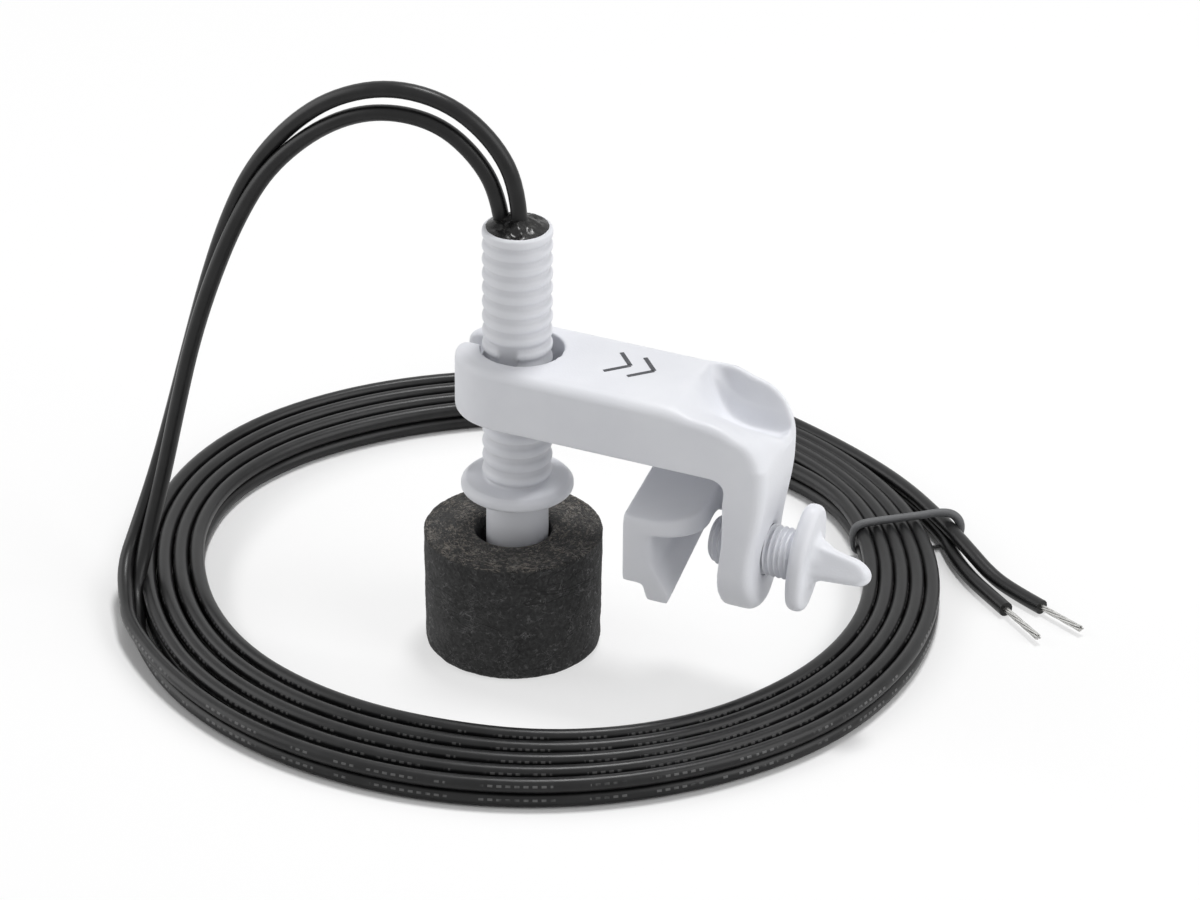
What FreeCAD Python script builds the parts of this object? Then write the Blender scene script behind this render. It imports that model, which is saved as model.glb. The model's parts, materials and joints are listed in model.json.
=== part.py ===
"""Clip-on float switch for a drain pan: ribbed stem with reed switch, foam float, clamp bracket, lead.

Millimetres, +Z up.  The origin is on the stem axis at the foot; +X runs along the bracket arm.
"""
import FreeCAD
import Part

import math
import os

import Sketcher

V = FreeCAD.Vector
doc = FreeCAD.newDocument("pan_float_switch")
sheet = doc.addObject("Spreadsheet::Sheet", "dims")

# Driving dimensions: alias, value in mm (or degrees where the name says so).
SIZES = [
    ("clearance", 0.15),
    # stem
    ("stem_top", 84.0),
    ("rib_crest_dia", 12.7),
    ("rib_depth", 0.35),
    ("rib_pitch", 2.8),
    ("rim_height", 1.6),
    ("key_width", 3.6),
    ("key_low", 50.0),
    ("key_high", 62.0),
    ("key_depth", 0.5),
    ("stem_wall", 0.8),
    ("flange_top", 34.0),
    ("flange_dia", 20.4),
    ("flange_thick", 2.5),
    ("guide_step", 0.7),
    ("guide_wall", 1.45),
    ("foot_wall", 2.0),
    ("clip_groove_z", 0.9),
    ("clip_groove_depth", 0.85),
    # retaining clip
    ("clip_thick", 0.9),
    ("clip_dia", 16.0),
    ("clip_gap", 7.0),
    # float
    ("float_dia", 31.8),
    ("float_height", 23.2),
    ("float_play", 1.25),
    ("float_seat_dia", 19.0),
    ("float_seat_depth", 2.2),
    ("float_edge", 0.9),
    # ring magnet let into the float's bore
    ("magnet_play", 0.4),
    ("magnet_wall", 3.4),
    ("magnet_height", 5.0),
    ("magnet_z", 9.5),
    # bracket
    ("arm_bottom", 48.3),
    ("arm_height", 12.0),
    ("arm_width", 22.4),
    ("ring_play", 2.3),
    ("ring_bore_shift", 0.95),
    ("ring_slit", 3.2),
    ("leg_inner_x", 43.8),
    ("leg_thick", 6.5),
    ("corner_radius", 11.0),
    ("roof_top", 37.5),
    ("roof_thick", 3.2),
    ("clamp_span", 18.1),
    ("jaw_thick", 4.0),
    ("jaw_bottom", 24.2),
    ("jaw_nib", 4.4),
    ("nib_drop", 2.8),
    ("roof_rise", 6.8),
    ("jaw_rise", 8.6),
    ("cove_share", 0.24),
    ("web_y", 2.5),
    ("web_gap", 4.5),
    ("roof_corner", 8.2),
    ("small_edge", 0.9),
    ("scoop_corner", 2.0),
    ("scoop_length", 10.3),
    ("scoop_radius", 10.0),
    ("scoop_floor", 52.2),
    ("scoop_wall", 3.0),
    ("scoop_tilt_deg", 15.0),
    ("soft_edge", 2.4),
    ("lip_edge", 1.2),
    # thumb screw
    ("screw_z", 30.7),
    ("screw_dia", 9.4),
    ("screw_reach", 4.6),
    ("screw_stand", 4.0),
    ("wing_span", 21.6),
    ("wing_width", 12.0),
    ("wing_end_radius", 4.0),
    ("wing_thick", 3.2),
    ("blade_length", 10.9),
    ("blade_height", 6.6),
    ("blade_thick", 3.8),
    # reed switch and its wiring
    ("reed_glass_dia", 2.6),
    ("reed_glass_length", 14.0),
    ("reed_glass_wall", 0.4),
    ("reed_z", 18.0),
    ("reed_lead_dia", 0.6),
    ("reed_blade_width", 1.2),
    ("reed_blade_thick", 0.25),
    ("splice_dia", 3.2),
    ("splice_length", 8.0),
    ("splice_z", 44.0),
    # leads
    ("lead_dia", 2.8),
    ("core_dia", 1.1),
    ("lead_a_x", -2.9),
    ("lead_b_x", 0.5),
    ("potting_sink", 0.7),
    ("potting_depth", 16.0),
    # coil of lead
    ("coil_x", -4.4),
    ("coil_y", 16.8),
    ("coil_outer_radius", 76.8),
    ("coil_inner_radius", 60.0),
    ("coil_inner_shift_x", -1.8),
    ("coil_inner_shift_y", 3.8),
    ("coil_height", 6.1),
    ("coil_edge", 1.3),
    # tie round the coil
    ("tie_angle_deg", 38.0),
    ("tie_thick", 0.5),
    ("tie_width", 1.8),
    ("tie_outer_radius", 81.2),
]


class Size:
    """A sheet expression and its present value, kept together through arithmetic."""

    def __init__(self, text, value):
        self.text = text
        self.value = value

    @staticmethod
    def of(other):
        return other if isinstance(other, Size) else Size(repr(float(other)), float(other))

    def __add__(self, other):
        b = Size.of(other)
        return Size(f"({self.text} + {b.text})", self.value + b.value)

    def __sub__(self, other):
        b = Size.of(other)
        return Size(f"({self.text} - {b.text})", self.value - b.value)

    def __mul__(self, other):
        b = Size.of(other)
        return Size(f"({self.text} * {b.text})", self.value * b.value)

    def __truediv__(self, other):
        b = Size.of(other)
        return Size(f"({self.text} / {b.text})", self.value / b.value)

    def __neg__(self):
        return Size(f"(0 - {self.text})", -self.value)

    def root(self):
        return Size(f"sqrt({self.text})", math.sqrt(self.value))


class Sizes:
    """Every sheet cell as an attribute that is a Size."""


d = Sizes()
for row, (alias, number) in enumerate(SIZES, start=1):
    sheet.set(f"A{row}", alias)
    sheet.set(f"B{row}", repr(number))
    sheet.setAlias(f"B{row}", alias)
    setattr(d, alias, Size(f"dims.{alias}", number))
doc.recompute()

# Sizes that follow from others
rib_root = d.rib_crest_dia - d.rib_depth * 2
stem_bore = rib_root - d.stem_wall * 2
guide_dia = d.rib_crest_dia - d.guide_step * 2
guide_bore = guide_dia - d.guide_wall * 2
clip_groove = guide_dia - d.clip_groove_depth * 2
float_bore = guide_dia + d.float_play * 2
leg_outer = d.leg_inner_x + d.leg_thick
jaw_outer = d.leg_inner_x - d.clamp_span
jaw_inner = jaw_outer + d.jaw_thick
roof_under = d.roof_top - d.roof_thick
cove_radius = (roof_under - d.jaw_bottom - 3.6) * d.cove_share
scoop_start = d.leg_inner_x - d.scoop_length
ring_bore = d.rib_crest_dia + d.ring_play
screw_tip = d.leg_inner_x - d.screw_reach
screw_head = leg_outer + d.screw_stand
magnet_bore = float_bore + d.magnet_play
magnet_dia = magnet_bore + d.magnet_wall * 2
potting_top = d.stem_top - d.potting_sink

parts = []


def keep(item, label):
    item.Label = label
    parts.append(item)
    return item


def bind(item, **sizes):
    for name, size in sizes.items():
        item.setExpression(name, Size.of(size).text)


# Sketch and feature helpers


def new_body(name):
    return keep(doc.addObject("PartDesign::Body", name), name)


def sketch_on(body, name, role, offset=None, turn=None):
    plane = [f for f in body.Origin.OriginFeatures if f.Role == role][0]
    sk = body.newObject("Sketcher::SketchObject", name)
    sk.AttachmentSupport = (plane, [""])
    sk.MapMode = "FlatFace"
    if turn is not None:
        sk.AttachmentOffset = FreeCAD.Placement(V(0, 0, 0), turn)
    if offset is not None:
        sk.setExpression(".AttachmentOffset.Base.z", Size.of(offset).text)
    return sk


def pin_point(sk, geo, end, x, y=None):
    for kind, size in (("DistanceX", x), ("DistanceY", y)):
        if size is None:
            continue
        size = Size.of(size)
        index = sk.addConstraint(Sketcher.Constraint(kind, -1, 1, geo, end, size.value))
        sk.setExpression(f"Constraints[{index}]", size.text)


def outline(sk, points, arcs=None):
    """Closed outline; every corner is placed by its own two sheet expressions.

    arcs gives, by the number of its first corner, an edge's radius and centre where the edge is an arc
    that runs anticlockwise.
    """
    flat = [V(Size.of(x).value, Size.of(y).value, 0) for x, y in points]
    first = None
    for i, (x, y) in enumerate(points):
        start, finish = flat[i], flat[(i + 1) % len(flat)]
        if arcs and i in arcs:
            radius, middle = arcs[i]
            middle = V(Size.of(middle[0]).value, Size.of(middle[1]).value, 0)
            angles = [math.atan2(q.y - middle.y, q.x - middle.x) for q in (start, finish)]
            whole = Part.Circle(middle, V(0, 0, 1), radius.value)
            geo = sk.addGeometry(Part.ArcOfCircle(whole, *angles))
            index = sk.addConstraint(Sketcher.Constraint("Radius", geo, radius.value))
            sk.setExpression(f"Constraints[{index}]", radius.text)
        else:
            geo = sk.addGeometry(Part.LineSegment(start, finish))
        first = geo if first is None else first
        pin_point(sk, geo, 1, x, y)
        if i:
            sk.addConstraint(Sketcher.Constraint("Coincident", geo - 1, 2, geo, 1))
    sk.addConstraint(Sketcher.Constraint("Coincident", geo, 2, first, 1))
    return first


def ring(sk, x, y, dia):
    x, y, dia = Size.of(x), Size.of(y), Size.of(dia)
    geo = sk.addGeometry(Part.Circle(V(x.value, y.value, 0), V(0, 0, 1), dia.value / 2))
    pin_point(sk, geo, 3, x, y)
    index = sk.addConstraint(Sketcher.Constraint("Diameter", geo, dia.value))
    sk.setExpression(f"Constraints[{index}]", dia.text)
    return geo


def feature(body, kind, name, sk, **sizes):
    f = body.newObject(f"PartDesign::{kind}", name)
    f.Profile = sk
    bind(f, **sizes)
    sk.Visibility = False
    return f


def revolve(body, kind, name, sk, role):
    f = body.newObject(f"PartDesign::{kind}", name)
    f.Profile = sk
    axis = [o for o in body.Origin.OriginFeatures if o.Role == role][0]
    f.ReferenceAxis = (axis, [""])
    f.Angle = 360
    return f


def cut_checked(body, f):
    """A cut must take material away."""
    doc.recompute()
    before = f.BaseFeature.Shape.Volume
    if not f.Shape.Volume < before - 1e-3:
        raise RuntimeError(f"{f.Name} cut nothing")
    return f


def edges(shape, test):
    return [f"Edge{i}" for i, e in enumerate(shape.Edges, start=1) if test(e)]


def round_edges(body, base, name, radius, test, kind="Fillet"):
    doc.recompute()
    names = edges(base.Shape, test)
    if not names:
        raise RuntimeError(f"{name}: no edges found")
    f = body.newObject(f"PartDesign::{kind}", name)
    f.Base = (base, names)
    bind(f, **{"Radius" if kind == "Fillet" else "Size": radius})
    doc.recompute()
    return f


def box_of(e):
    b = e.BoundBox
    return b.XMin, b.XMax, b.YMin, b.YMax, b.ZMin, b.ZMax


def near(a, b, tol=0.02):
    return abs(a - b) < tol


# Stem: one moulding, hollow, closed at the foot, with rounded ribs above the flange

stem = new_body("stem")
flange_under = d.flange_top - d.flange_thick
rib_start = d.flange_top + 0.6
rib_low = d.stem_top - d.rim_height - 0.6
rib_count = int((rib_low.value - rib_start.value) / d.rib_pitch.value + 0.26)
bore_floor = flange_under - 1.0

sk = sketch_on(stem, "stem_profile", "XZ_Plane")
profile = [
    (0, 0),
    (guide_dia / 2 - 0.6, 0),
    (guide_dia / 2, 0.6),
    (guide_dia / 2, flange_under),
    (d.flange_dia / 2 - 0.5, flange_under),
    (d.flange_dia / 2, flange_under + 0.5),
    (d.flange_dia / 2, d.flange_top - 0.9),
    (d.flange_dia / 2 - 0.9, d.flange_top),
    (rib_root / 2, d.flange_top),
    (rib_root / 2, d.stem_top - d.rim_height - 0.3),
    (d.rib_crest_dia / 2, d.stem_top - d.rim_height),
    (d.rib_crest_dia / 2, d.stem_top - 0.4),
    (d.rib_crest_dia / 2 - 0.4, d.stem_top),
    (stem_bore / 2, d.stem_top),
    (stem_bore / 2, bore_floor + (stem_bore - guide_bore) / 2),
    (guide_bore / 2, bore_floor),
    (guide_bore / 2, d.foot_wall),
    (0, d.foot_wall),
]
outline(sk, profile)
trunk = revolve(stem, "Revolution", "stem_trunk", sk, "Z_Axis")

# one rib: a trapezoid ridge with flanks sloped so that it reads as a soft roll
sk = sketch_on(stem, "rib_profile", "XZ_Plane")
rib_foot = rib_root / 2 - 0.2
outline(sk, [
    (rib_foot, rib_start),
    (rib_root / 2, rib_start),
    (d.rib_crest_dia / 2, rib_start + d.rib_pitch * 0.22),
    (d.rib_crest_dia / 2, rib_start + d.rib_pitch * 0.52),
    (rib_root / 2, rib_start + d.rib_pitch * 0.74),
    (rib_foot, rib_start + d.rib_pitch * 0.74),
])
rib = revolve(stem, "Revolution", "rib", sk, "Z_Axis")
doc.recompute()
ribs = stem.newObject("PartDesign::LinearPattern", "ribs")
ribs.Originals = [rib]
ribs.Direction = ([o for o in stem.Origin.OriginFeatures if o.Role == "Z_Axis"][0], [""])
ribs.Occurrences = rib_count
bind(ribs, Length=d.rib_pitch * (rib_count - 1))
stem.Tip = ribs

# groove that the retaining clip snaps into
sk = sketch_on(stem, "clip_groove_profile", "XZ_Plane")
groove_top = d.clip_groove_z + d.clip_thick + d.clearance
outline(sk, [
    (clip_groove / 2, d.clip_groove_z),
    (guide_dia / 2 + 1.0, d.clip_groove_z),
    (guide_dia / 2 + 1.0, groove_top),
    (clip_groove / 2, groove_top),
])
groove = revolve(stem, "Groove", "clip_groove", sk, "Z_Axis")
cut_checked(stem, groove)
stem.Tip = groove

# key slot down the front of the ribs
sk = sketch_on(stem, "key_profile", "XZ_Plane", rib_root / 2 - d.key_depth)
outline(sk, [
    (-d.key_width / 2, d.key_low),
    (d.key_width / 2, d.key_low),
    (d.key_width / 2, d.key_high),
    (-d.key_width / 2, d.key_high),
])
key = feature(stem, "Pocket", "key_slot", sk, Length=d.rib_crest_dia / 2)
key.Reversed = True
cut_checked(stem, key)

# Retaining clip: flat spring ring, open on one side

clip = new_body("retaining_clip")
sk = sketch_on(clip, "clip_plan", "XY_Plane", d.clip_groove_z)
ring(sk, 0, 0, d.clip_dia)
ring(sk, 0, 0, clip_groove + d.clearance * 2)
clip_disc = feature(clip, "Pad", "clip_disc", sk, Length=d.clip_thick)
sk = sketch_on(clip, "clip_mouth", "XY_Plane", d.clip_groove_z)
outline(sk, [
    (-d.clip_dia, -d.clip_gap / 2),
    (0, -d.clip_gap / 2),
    (0, d.clip_gap / 2),
    (-d.clip_dia, d.clip_gap / 2),
])
mouth = feature(clip, "Pocket", "clip_open_side", sk, Length=d.clip_thick * 2)
mouth.Midplane = True
cut_checked(clip, mouth)

# Float: foam cylinder, bored for the stem, seat for the clip below, channel for the magnet

float_body = new_body("float_body")
sk = sketch_on(float_body, "float_profile", "XZ_Plane")
magnet_low = d.magnet_z
magnet_high = d.magnet_z + d.magnet_height
channel_r = magnet_dia / 2 + d.clearance
outline(sk, [
    (d.float_seat_dia / 2, 0),
    (d.float_dia / 2 - d.float_edge, 0),
    (d.float_dia / 2, d.float_edge),
    (d.float_dia / 2, d.float_height - d.float_edge),
    (d.float_dia / 2 - d.float_edge, d.float_height),
    (float_bore / 2 + d.float_edge / 2, d.float_height),
    (float_bore / 2, d.float_height - d.float_edge / 2),
    (float_bore / 2, magnet_high),
    (channel_r, magnet_high),
    (channel_r, magnet_low),
    (float_bore / 2, magnet_low),
    (float_bore / 2, d.float_seat_depth),
    (d.float_seat_dia / 2, d.float_seat_depth),
])
revolve(float_body, "Revolution", "float_foam", sk, "Z_Axis")

magnet = new_body("ring_magnet")
sk = sketch_on(magnet, "magnet_plan", "XY_Plane", magnet_low)
ring(sk, 0, 0, magnet_dia)
ring(sk, 0, 0, magnet_bore)
feature(magnet, "Pad", "magnet_ring", sk, Length=d.magnet_height)

# Bracket: arm with a slit ring on the stem, rounded corner with a thumb scoop, leg, roof and jaw

bracket = new_body("bracket")
arm_top = d.arm_bottom + d.arm_height
half = d.arm_width / 2

# side profile of arm, leg, roof and jaw, drawn on the XZ plane and padded to both sides
sk = sketch_on(bracket, "side_profile", "XZ_Plane")
outline(sk, [
    (0, d.arm_bottom),
    (d.leg_inner_x, d.arm_bottom),
    (d.leg_inner_x, d.roof_top),
    (jaw_outer, d.roof_top),
    (jaw_outer, d.jaw_bottom),
    (jaw_inner - 0.4, d.jaw_bottom),
    (jaw_inner + 0.1, d.jaw_bottom - d.nib_drop),
    (jaw_inner + d.jaw_nib - 0.7, d.jaw_bottom - d.nib_drop),
    (jaw_inner + d.jaw_nib, d.jaw_bottom - d.nib_drop + 0.8),
    (jaw_inner + 0.6, d.jaw_bottom + 2.6),
    (jaw_inner, d.jaw_bottom + 3.2),
    (jaw_inner, roof_under),
    (d.leg_inner_x, roof_under),
    (d.leg_inner_x, d.screw_z),
    (leg_outer, d.screw_z),
    (leg_outer, arm_top),
    (0, arm_top),
])
frame_pad = feature(bracket, "Pad", "frame", sk, Length=d.arm_width)
frame_pad.Midplane = True

# rounded end of the arm round the stem
sk = sketch_on(bracket, "ring_plan", "XY_Plane", d.arm_bottom)
ring(sk, 0, 0, d.arm_width)
feature(bracket, "Pad", "ring_end", sk, Length=d.arm_height)

# the leg ends in a half disc about the screw
sk = sketch_on(bracket, "leg_end_profile", "YZ_Plane", d.leg_inner_x)
ring(sk, 0, d.screw_z, d.arm_width)
leg_end = feature(bracket, "Pad", "leg_end", sk, Length=d.leg_thick)
doc.recompute()

# the roof rises to the back as a gusset
sk = sketch_on(bracket, "gusset_profile", "YZ_Plane", jaw_outer)
outline(sk, [
    (-half, d.roof_top),
    (-half, d.roof_top - d.roof_thick / 2),
    (half, d.roof_top - d.roof_thick / 2),
    (half, d.roof_top + d.roof_rise),
])
gusset = feature(bracket, "Pad", "gusset", sk, Length=d.leg_inner_x - jaw_outer)
doc.recompute()

# the jaw's tip is cut on a slant that rises to the back
sk = sketch_on(bracket, "jaw_tip_profile", "YZ_Plane", jaw_outer)
tip_low = d.jaw_bottom - d.nib_drop
outline(sk, [
    (-half, tip_low),
    (half, tip_low + d.jaw_rise),
    (half + 1.0, tip_low - 3.0),
    (-half, tip_low - 3.0),
])
jaw_tip = feature(bracket, "Pocket", "jaw_tip", sk, Length=d.jaw_thick + d.jaw_nib + 2.0)
jaw_tip.Reversed = True
cut_checked(bracket, jaw_tip)

# outer corner, the cove inside the jaw, and the inner corner under the arm
corner = round_edges(
    bracket, jaw_tip, "outer_corner", d.corner_radius,
    lambda e: near(e.BoundBox.XMin, leg_outer.value) and near(e.BoundBox.XMax, leg_outer.value)
    and near(e.BoundBox.ZMin, arm_top.value) and near(e.BoundBox.ZMax, arm_top.value),
)
cove = round_edges(
    bracket, corner, "jaw_cove", cove_radius,
    lambda e: near(e.BoundBox.XMin, jaw_inner.value) and near(e.BoundBox.XMax, jaw_inner.value)
    and near(e.BoundBox.ZMin, roof_under.value) and near(e.BoundBox.ZMax, roof_under.value),
)
inside = round_edges(
    bracket, cove, "inner_corners", d.soft_edge,
    lambda e: near(e.BoundBox.XMin, d.leg_inner_x.value) and near(e.BoundBox.XMax, d.leg_inner_x.value)
    and e.BoundBox.YLength > 15
    and (near(e.BoundBox.ZMin, d.arm_bottom.value) or near(e.BoundBox.ZMin, roof_under.value)),
)

# soft edge along both sides of the arm's top, running on round the ring and down the leg
soft = round_edges(
    bracket, inside, "arm_edge", d.soft_edge,
    lambda e: near(abs(e.BoundBox.Center.y), half.value) and near(e.BoundBox.YLength, 0)
    and near(e.BoundBox.ZMin, arm_top.value) and near(e.BoundBox.ZMax, arm_top.value),
)

# thumb scoop: a floor tilted down to the back, ending at a wall along the back edge
sk = sketch_on(bracket, "scoop_profile", "XZ_Plane")
scoop_high = arm_top + 14.0
scoop_drop = arm_top - d.scoop_floor
scoop_run = (scoop_drop * d.scoop_radius * 2 - scoop_drop * scoop_drop).root()
outline(sk, [
    (scoop_start, arm_top),
    (scoop_start + scoop_run, d.scoop_floor),
    (leg_outer + 6.0, d.scoop_floor),
    (leg_outer + 6.0, scoop_high),
    (scoop_start, scoop_high),
], {0: (d.scoop_radius, (scoop_start + scoop_run, d.scoop_floor + d.scoop_radius))})
tilt = d.scoop_tilt_deg.value
wall_y = half - d.scoop_wall
# the sketch plane faces -Y; it is turned about X where the scoop floor meets the back wall
tilt_turn = FreeCAD.Rotation(V(1, 0, 0), -tilt)
sk.AttachmentOffset = FreeCAD.Placement(V(0, 0, 0), tilt_turn)
lift = d.scoop_floor * (1 - math.cos(math.radians(tilt)))
reach = d.scoop_floor * math.sin(math.radians(tilt)) - wall_y
sk.setExpression(".AttachmentOffset.Base.y", lift.text)
sk.setExpression(".AttachmentOffset.Base.z", reach.text)
scoop = feature(bracket, "Pocket", "thumb_scoop", sk, Length=d.arm_width * 2)
scoop.Reversed = True
cut_checked(bracket, scoop)

# hole for the stem and the slit that lets the ring spring open
sk = sketch_on(bracket, "ring_hole_plan", "XY_Plane", d.arm_bottom)
ring(sk, d.ring_bore_shift, 0, ring_bore)
hole = feature(bracket, "Pocket", "ring_hole", sk, Length=d.arm_height * 3)
hole.Midplane = True
cut_checked(bracket, hole)
sk = sketch_on(bracket, "slit_plan", "XY_Plane", d.arm_bottom)
outline(sk, [
    (-d.arm_width, -d.ring_slit / 2),
    (0, -d.ring_slit / 2),
    (0, d.ring_slit / 2),
    (-d.arm_width, d.ring_slit / 2),
])
slit = feature(bracket, "Pocket", "ring_slit", sk, Length=d.arm_height * 3)
slit.Midplane = True
cut_checked(bracket, slit)
lips = round_edges(
    bracket, slit, "slit_lips", d.lip_edge,
    lambda e: e.BoundBox.XMax < -d.arm_width.value * 0.4 and near(abs(e.BoundBox.Center.y), d.ring_slit.value / 2)
    and e.BoundBox.ZLength > d.arm_height.value * 0.5,
)

# the roof is held to the leg by a web along its back; in front it ends free, with a round corner
sk = sketch_on(bracket, "web_gap_plan", "XY_Plane", d.roof_top - d.roof_thick / 2)
roof_end = d.leg_inner_x - d.web_gap
outline(sk, [
    (roof_end, -half - 1.0),
    (d.leg_inner_x, -half - 1.0),
    (d.leg_inner_x, d.web_y),
    (roof_end, d.web_y),
])
gap = feature(bracket, "Pocket", "web_gap", sk, Length=d.roof_thick + d.roof_rise * 2 + 4.0)
gap.Midplane = True
cut_checked(bracket, gap)
roof_round = round_edges(
    bracket, gap, "roof_corner", d.roof_corner,
    lambda e: near(e.BoundBox.XMin, roof_end.value) and near(e.BoundBox.XMax, roof_end.value)
    and near(e.BoundBox.YMax, -half.value) and e.BoundBox.ZLength > 1,
)

# hole that the thumb screw runs in
sk = sketch_on(bracket, "screw_hole_profile", "YZ_Plane", d.leg_inner_x)
ring(sk, 0, d.screw_z, d.screw_dia + d.clearance * 2)
screw_hole = feature(bracket, "Pocket", "screw_hole", sk, Length=d.leg_thick * 3)
screw_hole.Midplane = True
cut_checked(bracket, screw_hole)

# small radii: the jaw's upright edges, the arm's lower edges running on down the inside of the leg,
# the foot of the scoop's wall, and the lip where the scoop starts
jaw_soft = round_edges(
    bracket, screw_hole, "jaw_edges", d.small_edge,
    lambda e: near(e.BoundBox.XMin, jaw_outer.value) and near(e.BoundBox.XMax, jaw_outer.value)
    and near(e.BoundBox.YLength, 0) and e.BoundBox.ZLength > 10,
)
under_soft = round_edges(
    bracket, jaw_soft, "under_edge", d.small_edge,
    lambda e: near(e.BoundBox.ZMin, d.arm_bottom.value) and near(e.BoundBox.ZMax, d.arm_bottom.value)
    and e.BoundBox.XLength > 8 and e.BoundBox.XMax < d.leg_inner_x.value - 2
    and max(abs(e.BoundBox.YMin), abs(e.BoundBox.YMax)) > half.value - 0.1,
)
scoop_soft = round_edges(
    bracket, under_soft, "scoop_foot", d.scoop_corner,
    lambda e: near(e.BoundBox.YMin, wall_y.value, 0.05) and near(e.BoundBox.YMax, wall_y.value, 0.05)
    and near(e.BoundBox.ZMin, d.scoop_floor.value, 0.05) and e.BoundBox.XLength > 4
    and e.BoundBox.XMin > scoop_start.value,
)
scoop_lip = round_edges(
    bracket, scoop_soft, "scoop_lip", d.small_edge * 0.8,
    lambda e: near(e.BoundBox.ZMin, arm_top.value) and near(e.BoundBox.ZMax, arm_top.value)
    and e.BoundBox.XMin > scoop_start.value - 1 and e.BoundBox.YLength > 15,
)

# Thumb screw: plain shank at the thread's crest, oval wing, thumb blade on the axis

screw = new_body("thumb_screw")
sk = sketch_on(screw, "shank_profile", "XZ_Plane")
shank_r = d.screw_dia / 2
outline(sk, [
    (screw_tip, d.screw_z),
    (screw_tip, d.screw_z + shank_r - 1.0),
    (screw_tip + 1.0, d.screw_z + shank_r),
    (screw_head + 1.0, d.screw_z + shank_r),
    (screw_head + 1.0, d.screw_z),
])
shank = screw.newObject("PartDesign::Revolution", "shank")
shank.Profile = sk
shank.ReferenceAxis = (sk, ["Edge5"])
shank.Angle = 360
doc.recompute()

sk = sketch_on(screw, "wing_profile", "YZ_Plane", screw_head)
tall = d.wing_span / 2 - d.wing_end_radius
broad = d.wing_width / 2
side_radius = (broad * broad + tall * tall - d.wing_end_radius * d.wing_end_radius) / (
    (broad - d.wing_end_radius) * 2
)
arc_step = side_radius - d.wing_end_radius
turn_y = d.wing_end_radius * (side_radius - broad) / arc_step
turn_z = tall + d.wing_end_radius * tall / arc_step
outline(sk, [
    (turn_y, d.screw_z + turn_z),
    (-turn_y, d.screw_z + turn_z),
    (-turn_y, d.screw_z - turn_z),
    (turn_y, d.screw_z - turn_z),
], {
    0: (d.wing_end_radius, (0, d.screw_z + tall)),
    1: (side_radius, (side_radius - broad, d.screw_z)),
    2: (d.wing_end_radius, (0, d.screw_z - tall)),
    3: (side_radius, (broad - side_radius, d.screw_z)),
})
wing_pad = feature(screw, "Pad", "wing", sk, Length=d.wing_thick)
doc.recompute()
wing_soft = round_edges(
    screw, wing_pad, "wing_edge", d.wing_thick * 0.42,
    lambda e: e.BoundBox.ZLength > d.wing_span.value * 0.7,
)

blade_end = screw_head + d.wing_thick + d.blade_length
sk = sketch_on(screw, "blade_profile", "XZ_Plane")
blade_root = screw_head + d.wing_thick / 2
tip_radius = d.blade_height * 0.467
tip_x = blade_end - tip_radius
tip_z = d.screw_z + d.blade_height * 0.05
low_turn = math.radians(62.0)
outline(sk, [
    (blade_root, d.screw_z - d.blade_height * 0.55),
    (tip_x + tip_radius * math.cos(low_turn), tip_z - tip_radius * math.sin(low_turn)),
    (tip_x, tip_z + tip_radius),
    (blade_root, d.screw_z + d.blade_height * 0.58),
], {1: (tip_radius, (tip_x, tip_z))})
blade = feature(screw, "Pad", "thumb_blade", sk, Length=d.blade_thick)
blade.Midplane = True
doc.recompute()
blade_soft = round_edges(
    screw, blade, "blade_edge", d.blade_thick * 0.3,
    lambda e: e.BoundBox.XMax > screw_head.value + d.wing_thick.value + 1.0
    and near(abs(e.BoundBox.Center.y), d.blade_thick.value / 2)
    and near(e.BoundBox.YLength, 0),
)
blade_foot = round_edges(
    screw, blade_soft, "blade_foot", d.blade_thick * 0.45,
    lambda e: near(e.BoundBox.XMin, screw_head.value + d.wing_thick.value)
    and near(e.BoundBox.XMax, screw_head.value + d.wing_thick.value)
    and near(abs(e.BoundBox.Center.y), d.blade_thick.value / 2) and e.BoundBox.ZLength > 4,
)

# Reed switch: glass capsule, two flat blades on round leads

reed_x = d.lead_b_x
glass = new_body("reed_glass")
sk = sketch_on(glass, "glass_profile", "XZ_Plane")
glass_top = d.reed_z + d.reed_glass_length
lead_r = d.reed_lead_dia / 2
glass_r = d.reed_glass_dia / 2
inner_r = glass_r - d.reed_glass_wall
outline(sk, [
    (lead_r, d.reed_z),
    (glass_r - 0.4, d.reed_z),
    (glass_r, d.reed_z + 0.6),
    (glass_r, glass_top - 0.6),
    (glass_r - 0.4, glass_top),
    (lead_r, glass_top),
    (lead_r, glass_top - 1.4),
    (inner_r, glass_top - 2.2),
    (inner_r, d.reed_z + 2.2),
    (lead_r, d.reed_z + 1.4),
])
revolve(glass, "Revolution", "glass_capsule", sk, "Z_Axis")
bind(glass, **{".Placement.Base.x": reed_x})

blade_low = d.reed_z + 2.4
blade_high = glass_top - 2.4
overlap_mid = d.reed_z + d.reed_glass_length / 2
lead_low = d.reed_z - 4.0


def reed_blade(name, low, high, shift, shank_low, shank_high):
    """Round lead with a flat blade; the blades pass each other with a small gap."""
    body = new_body(name)
    sketch = sketch_on(body, f"{name}_lead_plan", "XY_Plane", shank_low)
    ring(sketch, 0, 0, d.reed_lead_dia)
    feature(body, "Pad", f"{name}_lead", sketch, Length=shank_high - shank_low)
    sketch = sketch_on(body, f"{name}_blade_plan", "XY_Plane", low)
    thick = d.reed_blade_thick
    outline(sketch, [
        (-d.reed_blade_width / 2, shift - thick / 2),
        (d.reed_blade_width / 2, shift - thick / 2),
        (d.reed_blade_width / 2, shift + thick / 2),
        (-d.reed_blade_width / 2, shift + thick / 2),
    ])
    feature(body, "Pad", f"{name}_blade", sketch, Length=high - low)
    bind(body, **{".Placement.Base.x": reed_x})
    return body


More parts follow.
